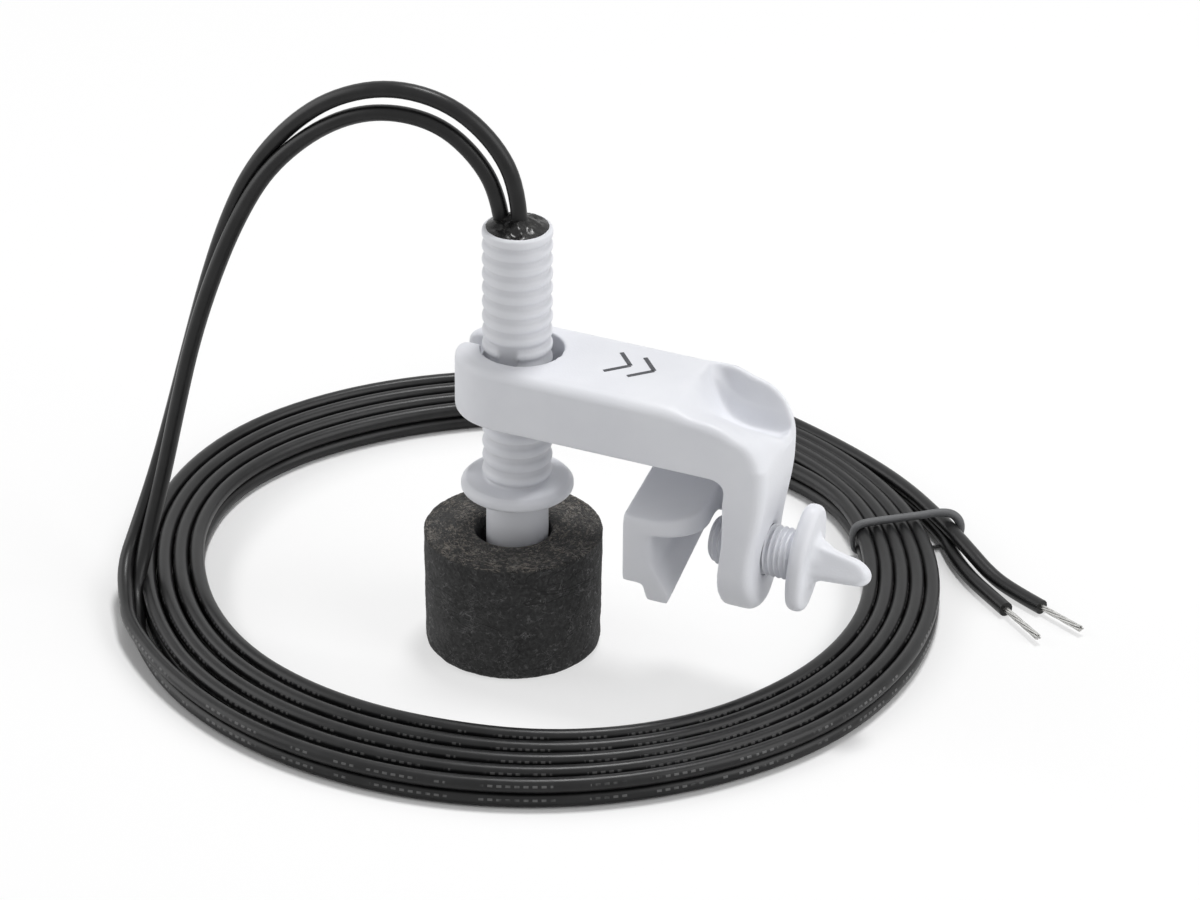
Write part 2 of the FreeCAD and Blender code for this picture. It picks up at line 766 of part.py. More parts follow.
contact = d.reed_blade_thick * 0.7
reed_blade("reed_blade_lower", blade_low - 0.3, overlap_mid + 1.0, contact, lead_low, blade_low)
reed_blade("reed_blade_upper", overlap_mid - 1.0, blade_high + 0.3, -contact, blade_high, d.splice_z)

# Wire from the lower reed lead, round its foot and up beside the capsule to the other splice


def straight(name, x, low, dia, length):
    rod = doc.addObject("Part::Cylinder", name)
    bind(rod, Radius=dia / 2, Height=length)
    bind(rod, **{".Placement.Base.x": x, ".Placement.Base.z": low})
    return rod


cross_low = lead_low - d.reed_lead_dia
return_up = straight(
    "return_rise", d.lead_a_x, cross_low, d.reed_lead_dia, d.splice_z - cross_low)
return_across = doc.addObject("Part::Box", "return_across")
bind(
    return_across,
    Length=reed_x - d.lead_a_x + d.reed_lead_dia / 2,
    Width=d.reed_lead_dia,
    Height=d.reed_lead_dia,
)
bind(return_across, **{
    ".Placement.Base.x": d.lead_a_x,
    ".Placement.Base.y": -d.reed_lead_dia / 2,
    ".Placement.Base.z": cross_low,
})
return_wire = doc.addObject("Part::Fuse", "return_wire")
return_wire.Base = return_up
return_wire.Tool = return_across
keep(return_wire, "return_wire")

# Splice sleeves, the leads inside the stem, and the potting that closes its top

splice_top = d.splice_z + d.splice_length
for letter, x in (("a", d.lead_a_x), ("b", d.lead_b_x)):
    sleeve = straight(f"splice_sleeve_{letter}", x, d.splice_z, d.splice_dia, d.splice_length)
    keep(sleeve, f"splice_sleeve_{letter}")
    inner = straight(
        f"lead_{letter}_inner", x, splice_top, d.lead_dia, potting_top - splice_top)
    keep(inner, f"lead_{letter}_inner")

potting = new_body("potting")
sk = sketch_on(potting, "potting_plan", "XY_Plane", potting_top - d.potting_depth)
ring(sk, 0, 0, stem_bore)
ring(sk, d.lead_a_x, 0, d.lead_dia)
ring(sk, d.lead_b_x, 0, d.lead_dia)
feature(potting, "Pad", "potting_plug", sk, Length=d.potting_depth)

# Leads: straight runs joined by tangent arcs, each arc as large as its runs allow.
# A route's first point takes its height and place from the potting.

top = potting_top.value
rise = (top - 1.4) / 81.9


def raised(points):
    """Points above the coil follow the stem's height."""
    return [(x, y, 1.4 + (z - 1.4) * rise) for x, y, z in points]


ARCH_A = raised([
    (d.lead_a_x.value, 0.0, 83.3), (-3.6, -0.5, 89.9), (-7.4, -1.5, 96.8), (-13.7, -2.5, 101.9),
    (-21.7, -3.8, 103.4), (-29.9, -4.8, 101.7), (-38.3, -5.6, 96.5), (-46.3, -6.7, 88.2),
    (-52.0, -7.6, 77.7), (-56.8, -8.5, 65.4), (-61.0, -9.2, 52.0), (-64.2, -9.7, 38.2),
    (-66.9, -10.6, 24.6), (-69.1, -13.5, 11.7), (-68.9, -19.2, 4.0), (-65.4, -24.8, 1.4),
    (-61.7, -31.7, 1.5),
])
ARCH_B = raised([
    (d.lead_b_x.value, 0.0, 83.3), (0.2, -0.0, 91.2), (-3.9, -0.8, 99.7), (-11.8, -2.2, 106.3),
    (-22.4, -4.1, 108.3), (-33.0, -5.5, 104.9), (-42.2, -5.5, 97.4), (-50.2, -5.4, 87.0),
    (-55.3, -5.4, 75.8), (-59.4, -5.7, 63.2), (-63.2, -6.0, 49.4), (-66.6, -6.9, 35.7),
    (-69.7, -8.5, 22.8), (-72.3, -12.0, 11.6), (-71.7, -18.5, 7.2), (-67.4, -25.7, 4.6),
    (-62.5, -33.1, 4.2),
])
FOLD = [
    (14.0, 76.9, 2.8), (0.0, 79.2, 4.9), (-14.75, 78.1, 8.6), (-27.1, 74.1, 9.2), (-34.0, 77.6, 9.3),
    (-36.4, 85.0, 9.3), (-32.9, 91.9, 9.2), (-20.6, 95.4, 7.6), (-4.4, 94.9, 4.4), (14.3, 91.4, 2.85),
    (31.6, 84.4, 2.8), (45.6, 76.4, 2.9), (57.6, 66.5, 2.9),
]
TAIL_A = [(x, y, z - 1.4) for x, y, z in FOLD] + [
    (62.4, 59.6, 1.45), (68.1, 53.6, 1.45), (73.5, 49.3, 1.45), (78.2, 45.6, 1.5),
]
TAIL_B = [(x, y, z + 1.4) for x, y, z in FOLD] + [
    (65.3, 59.4, 4.0), (71.3, 55.1, 2.4), (76.6, 52.6, 1.5), (83.9, 49.2, 1.5),
]


def cord_path(name, points):
    """Wire of runs and tangent arcs; prints its smallest arc radius and returns wire and length."""
    pts = [V(*p) for p in points]
    pieces = []
    radii = []
    here = pts[0]
    for before, at, after in zip(pts, pts[1:], pts[2:]):
        into = (at - before).normalize()
        out = (after - at).normalize()
        turn = into.getAngle(out)
        trim = 0.45 * min((at - before).Length, (after - at).Length)
        radius = trim / math.tan(turn / 2)
        radii.append(round(radius, 1))
        start = at - into * trim
        finish = at + out * trim
        toward = (out - into).normalize()
        middle = at + toward * (radius / math.cos(turn / 2) - radius)
        pieces.append(Part.LineSegment(here, start).toShape())
        pieces.append(Part.Arc(start, middle, finish).toShape())
        here = finish
    pieces.append(Part.LineSegment(here, pts[-1]).toShape())
    print(name, "arc radii", radii)
    return Part.Wire(pieces)


def lead_tube(name, points):
    path = cord_path(name, points)
    radius = d.lead_dia.value / 2
    first = (V(*points[1]) - V(*points[0])).normalize()
    section = Part.Wire(Part.Circle(V(*points[0]), first, radius).toShape())
    tube = path.makePipeShell([section], True, False)
    wanted = math.pi * radius ** 2 * path.Length
    print(name, "length", round(path.Length, 1), "volume share", round(tube.Volume / wanted, 4))
    item = doc.addObject("Part::Feature", name)
    item.Shape = tube.Solids[0] if tube.Solids else tube
    return keep(item, name)


lead_tube("lead_a_arch", ARCH_A)
lead_tube("lead_b_arch", ARCH_B)
lead_tube("lead_a_tail", TAIL_A)
lead_tube("lead_b_tail", TAIL_B)


def bare_end(name, route, length):
    """Stripped, tinned core that carries on from the end of a lead."""
    tip = V(*route[-1])
    along = (tip - V(*route[-2])).normalize()
    core = doc.addObject("Part::Cylinder", name)
    bind(core, Radius=d.core_dia / 2)
    core.Height = length
    core.Placement = FreeCAD.Placement(tip, FreeCAD.Rotation(V(0, 0, 1), along))
    return keep(core, name)


bare_end("bare_end_a", TAIL_A, 11.6)
bare_end("bare_end_b", TAIL_B, 10.4)

# Tie: a thin band round the coil's section, seen as a rounded frame standing on the coil's radius

tie = new_body("coil_tie")
sk = sketch_on(tie, "tie_profile", "XZ_Plane", -d.tie_width / 2)
tie_in = d.coil_inner_radius
rim = d.tie_thick
outline(sk, [
    (tie_in, 0), (d.tie_outer_radius + rim, 0),
    (d.tie_outer_radius + rim, d.coil_height + rim), (tie_in, d.coil_height + rim),
])
outline(sk, [
    (tie_in + rim, rim), (d.tie_outer_radius, rim),
    (d.tie_outer_radius, d.coil_height), (tie_in + rim, d.coil_height),
])
feature(tie, "Pad", "tie_band", sk, Length=d.tie_width)
tie_turn = FreeCAD.Rotation(V(0, 0, 1), d.tie_angle_deg.value)
tie.Placement = FreeCAD.Placement(V(0, 0, 0), tie_turn)
bind(tie, **{".Placement.Base.x": d.coil_x, ".Placement.Base.y": d.coil_y})

# Coil: the outer shape of the wound lead, notched where the tie passes under it

coil_outer = doc.addObject("Part::Cylinder", "coil_outer")
bind(coil_outer, Radius=d.coil_outer_radius, Height=d.coil_height)
bind(coil_outer, **{".Placement.Base.x": d.coil_x, ".Placement.Base.y": d.coil_y})
coil_inner = doc.addObject("Part::Cylinder", "coil_inner")
bind(coil_inner, Radius=d.coil_inner_radius, Height=d.coil_height + 2.0)
bind(coil_inner, **{
    ".Placement.Base.x": d.coil_x + d.coil_inner_shift_x,
    ".Placement.Base.y": d.coil_y + d.coil_inner_shift_y,
    ".Placement.Base.z": -Size.of(1.0),
})
coil_ring = doc.addObject("Part::Cut", "coil_ring")
coil_ring.Base = coil_outer
coil_ring.Tool = coil_inner
doc.recompute()
coil_soft = doc.addObject("Part::Chamfer", "coil_soft")
coil_soft.Base = coil_ring
coil_soft.Edges = [
    (i, d.coil_edge.value, d.coil_edge.value)
    for i, e in enumerate(coil_ring.Shape.Edges, start=1) if near(e.BoundBox.ZLength, 0)
]
doc.recompute()
notch = doc.addObject("Part::Box", "tie_notch")
bind(
    notch,
    Length=d.tie_outer_radius - d.coil_inner_radius + 12.0,
    Width=d.tie_width + d.clearance * 2,
    Height=d.tie_thick,
)
coil = doc.addObject("Part::Cut", "coil")
coil.Base = coil_soft
coil.Tool = notch
along = tie_turn.multVec(V(1, 0, 0))
across = tie_turn.multVec(V(0, 1, 0))
notch_at = (
    V(d.coil_x.value, d.coil_y.value, 0)
    + along * (d.coil_inner_radius.value - 8.0)
    - across * (d.tie_width.value / 2 + d.clearance.value)
)
notch.Placement = FreeCAD.Placement(notch_at, tie_turn)
keep(coil, "coil")

doc.recompute()

# Checks, then one STEP file for each piece

failed = [
    o.Name for o in doc.Objects
    if any(word in o.State for word in ("Invalid", "Error"))
]
failed += [p.Label for p in parts if p.Shape.isNull() or not p.Shape.isValid()]
failed += [p.Label for p in parts if len(p.Shape.Solids) != 1]
if failed:
    raise RuntimeError("failed: " + ", ".join(failed))

os.makedirs("parts", exist_ok=True)
for item in parts:
    item.Shape.exportStep(f"parts/{item.Label}.step")
print(len(parts), "pieces written")
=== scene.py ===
"""Looks of a clip-on drain pan float switch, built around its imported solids.

Metres, +Z up, the stem's foot at the origin and the bracket's arm along +X. Sizes are written in
millimetres, and MM turns them into metres where a mesh or a material needs them.
"""

import json
import math

import bmesh
import bpy
from mathutils import Matrix, Vector, noise


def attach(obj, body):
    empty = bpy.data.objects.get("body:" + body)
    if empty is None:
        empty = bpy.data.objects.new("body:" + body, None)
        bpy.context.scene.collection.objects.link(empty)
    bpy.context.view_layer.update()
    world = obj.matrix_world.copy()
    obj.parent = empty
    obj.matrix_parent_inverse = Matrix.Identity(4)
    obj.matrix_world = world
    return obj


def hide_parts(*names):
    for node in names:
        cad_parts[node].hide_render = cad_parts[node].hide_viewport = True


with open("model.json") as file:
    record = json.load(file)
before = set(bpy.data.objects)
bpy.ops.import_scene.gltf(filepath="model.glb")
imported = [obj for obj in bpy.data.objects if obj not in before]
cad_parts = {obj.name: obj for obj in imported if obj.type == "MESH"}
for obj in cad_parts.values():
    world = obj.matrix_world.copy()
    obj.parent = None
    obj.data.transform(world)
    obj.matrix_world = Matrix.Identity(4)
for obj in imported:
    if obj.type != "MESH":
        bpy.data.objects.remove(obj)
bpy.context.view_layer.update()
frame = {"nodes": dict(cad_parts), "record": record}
nodes = frame["nodes"]
scene = bpy.context.scene


# Sizes that several sections share

MM = 0.001
FLANGE_TOP = 34.0
COIL_MIDDLE = (-4.4, 16.8)


def corners(node):
    """Lowest and highest corner of a node, to a hundredth of a millimetre."""
    solid = nodes[node]
    places = [solid.matrix_world @ Vector(corner) / MM for corner in solid.bound_box]
    low = [round(min(values), 2) for values in zip(*places)]
    high = [round(max(values), 2) for values in zip(*places)]
    return low, high


screw_low, screw_high = corners("thumb_screw")
SCREW_TIP = screw_low[0]
SCREW_Z = round((screw_low[2] + screw_high[2]) / 2, 2)
LEG_OUTER, HALF_WIDTH, ARM_TOP = corners("bracket")[1]
FLOAT_RADIUS, _, FLOAT_HEIGHT = corners("float_body")[1]
STEM_TOP = corners("stem")[1][2]


# Camera at the photograph's angle

LENS_MM = 164.626
SENSOR_MM = 36.0
CAMERA_AT = (0.37331, -0.78279, 0.51179)
CAMERA_AZIMUTH = math.radians(24.5146)
CAMERA_ELEVATION = math.radians(28.5895)
CAMERA_ROLL = math.radians(0.4891)


def make_camera():
    data = bpy.data.cameras.new("camera")
    data.lens = LENS_MM
    data.sensor_width = SENSOR_MM
    data.clip_start = 0.01
    camera = bpy.data.objects.new("camera", data)
    scene.collection.objects.link(camera)
    turn = (
        Matrix.Rotation(CAMERA_AZIMUTH, 4, "Z")
        @ Matrix.Rotation(math.pi / 2 - CAMERA_ELEVATION, 4, "X")
        @ Matrix.Rotation(CAMERA_ROLL, 4, "Z")
    )
    camera.matrix_world = Matrix.Translation(CAMERA_AT) @ turn
    scene.camera = camera


make_camera()


# Shader helpers


class Sock:
    """A shader socket; arithmetic on it adds Math nodes."""

    def __init__(self, shade, socket):
        self.shade = shade
        self.socket = socket

    def op(self, operation, *others):
        return self.shade.node(
            "ShaderNodeMath", {"operation": operation}, dict(enumerate((self, *others)))
        )

    def __add__(self, other):
        return self.op("ADD", other)

    def __sub__(self, other):
        return self.op("SUBTRACT", other)

    def __rsub__(self, other):
        return self.shade.node("ShaderNodeMath", {"operation": "SUBTRACT"}, {0: other, 1: self})

    def __mul__(self, other):
        return self.op("MULTIPLY", other)

    def __truediv__(self, other):
        return self.op("DIVIDE", other)

    __radd__ = __add__
    __rmul__ = __mul__

    def span(self, other):
        """Straight distance of two sides at right angles."""
        return (self * self + other * other).op("SQRT")

    def between(self, low, high):
        """0 at low, 1 at high, smooth between."""
        return self.shade.node(
            "ShaderNodeMapRange",
            {"interpolation_type": "SMOOTHSTEP"},
            {"Value": self, "From Min": low, "From Max": high},
        )

    def near(self, middle, width):
        """1 at the middle value, 0 from the width on."""
        return 1.0 - (self - middle).op("ABSOLUTE").between(0.0, width)


class Shade:
    """The node tree of a material or of the world, and its shader."""

    def __init__(self, owner, shader="Principled BSDF"):
        owner.use_nodes = True
        self.owner = owner
        self.tree = owner.node_tree
        self.shader = self.tree.nodes[shader]

    def node(self, kind, settings=None, inputs=None, out=0):
        made = self.tree.nodes.new(kind)
        for name, value in (settings or {}).items():
            setattr(made, name, value)
        for name, value in (inputs or {}).items():
            self.feed(made.inputs[name], value)
        return Sock(self, made.outputs[out])

    def feed(self, socket, value):
        if isinstance(value, Sock):
            self.tree.links.new(value.socket, socket)
        elif isinstance(value, tuple) and len(value) == 3 and socket.type == "RGBA":
            socket.default_value = (*value, 1.0)
        else:
            socket.default_value = value

    def put(self, **sockets):
        """Sets or links the shader's own sockets; underscores stand for spaces."""
        for name, value in sockets.items():
            self.feed(self.shader.inputs[name.replace("_", " ")], value)

    def place(self):
        return self.node("ShaderNodeTexCoord", out="Object")

    def split(self, vector):
        x = self.node("ShaderNodeSeparateXYZ", {}, {"Vector": vector})
        return x, *(Sock(self, output) for output in x.socket.node.outputs[1:])

    def joined(self, x, y, z):
        return self.node("ShaderNodeCombineXYZ", {}, {"X": x, "Y": y, "Z": z})

    def stretched(self, scale):
        return self.node("ShaderNodeMapping", {}, {"Vector": self.place(), "Scale": scale})

    def noise(self, scale, detail=2.0, rough=0.5, at=None, distortion=0.0):
        return self.node(
            "ShaderNodeTexNoise",
            {},
            {
                "Vector": at or self.place(),
                "Scale": scale,
                "Detail": detail,
                "Roughness": rough,
                "Distortion": distortion,
            },
        )

    def mix(self, share, first, second):
        return self.node(
            "ShaderNodeMix", {"data_type": "RGBA"}, {"Factor": share, 6: first, 7: second}, out=2
        )

    def bump(self, height, distance, strength=1.0, under=None):
        inputs = {"Height": height, "Distance": distance, "Strength": strength}
        if under is not None:
            inputs["Normal"] = under
        return self.node("ShaderNodeBump", {}, inputs)

    def seen(self):
        """1 for what the camera sees, straight, mirrored or through glass."""
        straight = self.node("ShaderNodeLightPath", out="Is Camera Ray")
        rays = straight.socket.node.outputs
        mirrored = straight.op("MAXIMUM", Sock(self, rays["Is Glossy Ray"]))
        return mirrored.op("MAXIMUM", Sock(self, rays["Is Transmission Ray"]))


def new_finish(name):
    return Shade(bpy.data.materials.new(name))


def from_coil_middle(x, y):
    """Way from the coil's middle along X, along Y and straight out."""
    dx = x - COIL_MIDDLE[0] * MM
    dy = y - COIL_MIDDLE[1] * MM
    return dx, dy, dx.span(dy)


# Finishes

# painted shade in the stem's grooves: radii from the ribs' crests inwards, and heights from just above the
# flange
GROOVE_SHADE_REACH = (6.22 * MM, 5.82 * MM)
GROOVE_SHADE_FROM = ((FLANGE_TOP + 0.2) * MM, (FLANGE_TOP + 0.6) * MM)
FOAM_TOP = ((FLOAT_HEIGHT - 0.6) * MM, (FLOAT_HEIGHT - 0.1) * MM)
DASH_PLACES = 75.0
DASH_LENGTH = 1.55
DASH_LAYERS = 360.0
DASH_BELOW = (6.6 * MM, 6.2 * MM)
DASH_WITHIN = (79.5 * MM, 79.0 * MM)


def white_moulding(name="white_moulding", ribbed=False):
    s = new_finish(name)
    cloud = s.noise(70.0, 3.0)
    grain = s.noise(2600.0, 2.0)
    tone = s.mix(cloud.between(0.3, 0.7), (0.735, 0.745, 0.785), (0.775, 0.785, 0.82))
    if ribbed:
        # painted shade in the grooves between the ribs and in the key slot, from just above the flange up
        x, y, z = s.split(s.place())
        groove = x.span(y).between(*GROOVE_SHADE_REACH)
        tone = s.mix(groove * z.between(*GROOVE_SHADE_FROM) * 0.30, tone, (0.47, 0.475, 0.50))
    s.put(
        Base_Color=tone,
        Roughness=0.40 + cloud * 0.10,
        Normal=s.bump(grain, 0.00004, 0.6, s.bump(cloud, 0.0003, 0.35)),
    )
    return s.owner


def cut_foam():
    s = new_finish("cut_foam")
    x, y, z = s.split(s.place())
    top = z.between(*FOAM_TOP)
    swirl = s.joined(x.span(y) * 2600.0, y.op("ARCTAN2", x) * 11.0, z * 500.0)
    grain = s.noise(1300.0, 4.0, 0.7)
    cloud = s.noise(150.0, 4.0)
    patch = s.noise(90.0, 3.0).between(0.35, 0.65)
    speck = s.noise(1500.0, 2.0).between(0.60, 0.72)
    sweep = s.noise(1.1, 4.0, 0.65, swirl, 0.8).between(0.53, 0.62)
    broken = s.noise(380.0, 3.0).between(0.46, 0.60)
    fibre = s.noise(240.0, 4.0, 0.6, s.stretched((1.0, 1.0, 1.5)), 1.0).near(0.5, 0.020) * broken
    thread = s.noise(430.0, 3.0, 0.6, None, 1.6).near(0.5, 0.035) * broken
    scratch = s.noise(60.0, 2.0, 0.5, s.stretched((1.0, 1.0, 2.2)), 0.7).near(0.55, 0.006)
    body = s.mix(grain.between(0.32, 0.72), (0.0055, 0.0055, 0.0055), (0.044, 0.044, 0.044))
    body = s.mix(cloud.between(0.35, 0.75) * 0.35, body, (0.036, 0.036, 0.036))
    pale = s.mix(top, (0.21, 0.21, 0.21), (0.25, 0.232, 0.208))
    body = s.mix(speck * (0.22 + top * 0.38), body, pale)
    body = s.mix(fibre * 0.60 + thread * (0.20 + top * 0.25), body, pale)
    body = s.mix(sweep * top * (0.20 + patch * 0.75), body, (0.23, 0.205, 0.175))
    body = s.mix(scratch * (1.0 - top) * 0.7, body, (0.004, 0.004, 0.004))
    s.put(
        Base_Color=body,
        Roughness=0.80 - fibre * 0.2 - speck * 0.15,
        Specular_IOR_Level=0.35,
        Normal=s.bump(grain * 0.6 + fibre * 0.5 + speck * 0.4 - scratch * 0.6, 0.00025, 0.9),
    )
    return s.owner


def lead_cover():
    s = new_finish("lead_cover")
    cloud = s.noise(260.0, 3.0)
    grain = s.noise(3200.0, 2.0)
    tone = s.mix(cloud.between(0.3, 0.75), (0.005, 0.005, 0.0053), (0.010, 0.010, 0.0104))
    # pale dashes along the side that faces out of the coil
    x, y, z = s.split(s.place())
    nx, ny, nz = s.split(s.node("ShaderNodeNewGeometry", out="Normal"))
    dx, dy, reach = from_coil_middle(x, y)
    outward = (nx * dx + ny * dy) / reach
    band = outward.between(0.6, 0.7) * nz.between(0.16, 0.20) * nz.between(0.50, 0.46)
    along = dy.op("ARCTAN2", dx) * DASH_PLACES
    layer = (z * DASH_LAYERS).op("FLOOR")
    groups = s.noise(0.16, 1.0, 0.5, s.joined(along, 0.0, layer)).between(0.47, 0.50)
    step = (along / DASH_LENGTH).op("FRACT")
    dash = step.between(0.10, 0.16) * step.between(0.72, 0.66)
    worn = s.noise(420.0, 2.0).between(0.28, 0.52)
    on_coil = z.between(*DASH_BELOW) * reach.between(*DASH_WITHIN)
    tone = s.mix(band * groups * dash * worn * on_coil * 0.7, tone, (0.15, 0.15, 0.15))
    s.put(
        Base_Color=tone,
        Roughness=0.30 + cloud * 0.10,
        Specular_IOR_Level=0.30,
        Normal=s.bump(grain, 0.00002, 0.5),
    )
    return s.owner


def poured_resin():
    s = new_finish("poured_resin")
    swell = s.noise(240.0, 2.0, 0.5)
    speck = s.noise(1900.0, 2.0)
    s.put(
        Base_Color=s.mix(speck.between(0.55, 0.75), (0.009, 0.009, 0.009), (0.030, 0.029, 0.027)),
        Roughness=0.20 + speck * 0.12,
        Specular_IOR_Level=0.25,
        Normal=s.bump(swell + speck * 0.08, 0.0002, 0.5),
    )
    return s.owner


def bare_metal(name, stain_scale, stain_detail, dull, bright, rough, rougher):
    """Metal with a fine stain that dulls and roughens it in places."""
    s = new_finish(name)
    stain = s.noise(stain_scale, stain_detail)
    s.put(Base_Color=s.mix(stain, dull, bright), Metallic=1.0, Roughness=rough + stain * rougher)
    return s.owner


def tinned_wire():
    return bare_metal("tinned_wire", 900.0, 3.0, (0.34, 0.335, 0.32), (0.62, 0.62, 0.61), 0.22, 0.22)


def spring_steel():
    return bare_metal("spring_steel", 600.0, 4.0, (0.34, 0.34, 0.34), (0.55, 0.55, 0.54), 0.3, 0.2)


def plated_blade():
    return bare_metal("plated_blade", 1500.0, 3.0, (0.55, 0.52, 0.45), (0.75, 0.72, 0.65), 0.25, 0.15)


def grey_strap():
    s = new_finish("grey_strap")
    grain = s.noise(1300.0, 3.0)
    s.put(
        Base_Color=s.mix(grain, (0.075, 0.077, 0.080), (0.12, 0.122, 0.126)),
        Roughness=0.5 + grain * 0.15,
        Normal=s.bump(grain, 0.00006, 0.5),
    )
    return s.owner


def ferrite():
    s = new_finish("ferrite")
    grain = s.noise(1700.0, 4.0)
    s.put(
        Base_Color=s.mix(grain, (0.035, 0.035, 0.037), (0.075, 0.075, 0.078)),
        Roughness=0.55 + grain * 0.2,
        Normal=s.bump(grain, 0.0001, 0.5),
    )
    return s.owner


def clear_glass():
    s = new_finish("clear_glass")
    s.put(Base_Color=(0.86, 0.95, 0.91), Roughness=0.03, Transmission_Weight=1.0, IOR=1.5)
    return s.owner


def mark_ink():
    s = new_finish("mark_ink")
    wear = s.noise(1400.0, 3.0)
    s.put(
        Base_Color=s.mix(wear.between(0.55, 0.8), (0.045, 0.047, 0.055), (0.22, 0.22, 0.24)),
        Roughness=0.5 + wear * 0.2,
    )
    return s.owner


FINISH = {
    "white_plastic": white_moulding(),
    "float_foam": cut_foam(),
    "lead_black": lead_cover(),
    "potting": poured_resin(),
    "tinned_core": tinned_wire(),
    "tie": grey_strap(),
    "spring_steel": spring_steel(),
    "magnet": ferrite(),
    "reed_glass": clear_glass(),
    "reed_metal": plated_blade(),
}
FINISH["sleeve"] = FINISH["lead_black"]
INK = mark_ink()
# the stem's white, with shade painted into its grooves and key slot
RIBBED_WHITE_GROOVE_SHADE = white_moulding("ribbed_white_groove_shade", True)

for entry in frame["record"]["subparts"]:
    mesh = nodes[entry["node"]].data
    mesh.materials.clear()
    mesh.materials.append(FINISH[entry["material_slot"]])


# Mesh helpers

MERGE = 0.002 * MM
CUT_SLACK = 0.0005 * MM
WHOLE = (-math.inf, math.inf)


def blend(value, low, high):
    """0 at low, 1 at high, smooth between."""
    share = min(1.0, max(0.0, (value - low) / (high - low)))
    return share * share * (3.0 - 2.0 * share)


def part_way(first, second, share):
    return first + (second - first) * share


def settle(made, body, stands_for):
    """Puts a finished piece into the scene, on its body and in place of its nodes."""
    scene.collection.objects.link(made)
    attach(made, body)
    if stands_for:
        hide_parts(*stands_for)
    return made


def piece(name, bm, slot, body, stands_for=(), finish=None, crease=35.0):
    mesh = bpy.data.meshes.new(name)
    for face in bm.faces:
        face.smooth = True
    bm.to_mesh(mesh)
    bm.free()
    mesh.set_sharp_from_angle(angle=math.radians(crease))
    mesh.materials.append(finish or FINISH[slot])
    return settle(bpy.data.objects.new(name, mesh), body, stands_for)


def cad_copy(node):
    """The node's own mesh with its loose triangles joined up."""
    bm = bmesh.new()
    bm.from_mesh(nodes[node].data)
    bmesh.ops.transform(bm, matrix=nodes[node].matrix_world, verts=bm.verts)
    bmesh.ops.remove_doubles(bm, verts=bm.verts, dist=MERGE)
    return bm


def cap_openings(bm):
    rims = [edge for edge in bm.edges if edge.is_boundary]
    bmesh.ops.holes_fill(bm, edges=rims, sides=0)


def trim(bm, place, facing):
    """Cuts away what lies beyond the plane on the side it faces."""
    bmesh.ops.bisect_plane(
        bm, geom=bm.verts[:] + bm.edges[:] + bm.faces[:], dist=CUT_SLACK,
        plane_co=[value * MM for value in place], plane_no=facing, clear_outer=True,
    )


def slice_at(bm, place, facing):
    """Trims the mesh and closes the cut."""
    trim(bm, place, facing)
    cap_openings(bm)


def absorb(bm, other):
    """Adds the other mesh to this one and clears it."""
    carrier = bpy.data.meshes.new("carrier")
    other.to_mesh(carrier)
    other.free()
    bm.from_mesh(carrier)
    bpy.data.meshes.remove(carrier)


def moved_verts(extruded):
    return [part for part in extruded["geom"] if isinstance(part, bmesh.types.BMVert)]


def prism(outline, near_y, far_y, far_shape):
    """A closed block from an outline in the XZ plane to its reshaped copy further back."""
    bm = bmesh.new()
    face = bm.faces.new([bm.verts.new(Vector((x, near_y, z)) * MM) for x, z in outline])
    for vert in moved_verts(bmesh.ops.extrude_face_region(bm, geom=[face])):
        x, z = far_shape(vert.co.x / MM, vert.co.z / MM)
        vert.co = Vector((x, far_y, z)) * MM
    cap_openings(bm)
    bmesh.ops.recalc_face_normals(bm, faces=bm.faces)
    return bm


def bevel(bm, edges, radius, segments):
    bmesh.ops.bevel(
        bm, geom=edges, offset=radius * MM, segments=segments, profile=0.5, affect="EDGES", material=-1
    )


def round_over(bm, test, radius, segments):
    """Rounds the edges whose two ends both pass the test, given in millimetres."""
    bevel(bm, [e for e in bm.edges if all(test(*(v.co / MM)) for v in e.verts)], radius, segments)


def fused(bm, grain):
    """The mesh's parts joined into one skin of even faces; the given mesh is cleared."""
    rough = bpy.data.meshes.new("rough")
    bm.to_mesh(rough)
    bm.free()
    holder = bpy.data.objects.new("rough", rough)
    scene.collection.objects.link(holder)
    skin = holder.modifiers.new("skin", "REMESH")
    skin.mode = "VOXEL"
    skin.voxel_size = grain * MM
    finished = holder.evaluated_get(bpy.context.evaluated_depsgraph_get())
    even = bpy.data.meshes.new_from_object(finished)
    bpy.data.objects.remove(holder)
    bpy.data.meshes.remove(rough)
    made = bmesh.new()
    made.from_mesh(even)
    bpy.data.meshes.remove(even)
    return made


def relax(bm, times, x=WHOLE, y=WHOLE, z=WHOLE):
    """Evens out the surface all over, or where it lies inside the given ranges."""
    chosen = []
    for vert in bm.verts:
        place = vert.co / MM
        if x[0] < place.x < x[1] and y[0] < place.y < y[1] and z[0] < place.z < z[1]:
            chosen.append(vert)
    for _ in range(times):
        bmesh.ops.smooth_vert(
            bm, verts=chosen, factor=0.5, use_axis_x=True, use_axis_y=True, use_axis_z=True
        )


def reshape(bm, *changes):
    """Moves every point by the changes in turn, each of which takes and gives millimetres."""
    for vert in bm.verts:
        place = vert.co / MM
        for change in changes:
            place = change(*place)
        vert.co = Vector(place) * MM


# Thumb screw: a cut thread on the shank, with the moulded wing and blade

SCREW_HEAD = 54.3
HEAD_CUT = SCREW_HEAD + 0.02
THREAD_PITCH = 1.06
THREAD_STEPS = 40
THREAD_TURNS = 18
TURNS_BEFORE_TIP = 1.5
THREAD_IN_WING = 0.8
THREAD_MERGE = 0.004 * MM
LEAD_IN_RADIUS = 3.7
WING_TURN = math.radians(-27.0)
WING_OUT = 0.6
WING_TALL = 0.90
WING_ACROSS = 0.89
WING_GRAIN = 0.22
BLADE_ROOT = (57.5, 58.8)
BLADE_TAPER = (61.0, 68.4)
BLADE_DROP = 0.5
TIP_DROP = 0.75
TIP_SLIM = 0.18
BLADE_SOFT_FROM = 57.4
FLARE_SIDES = 32

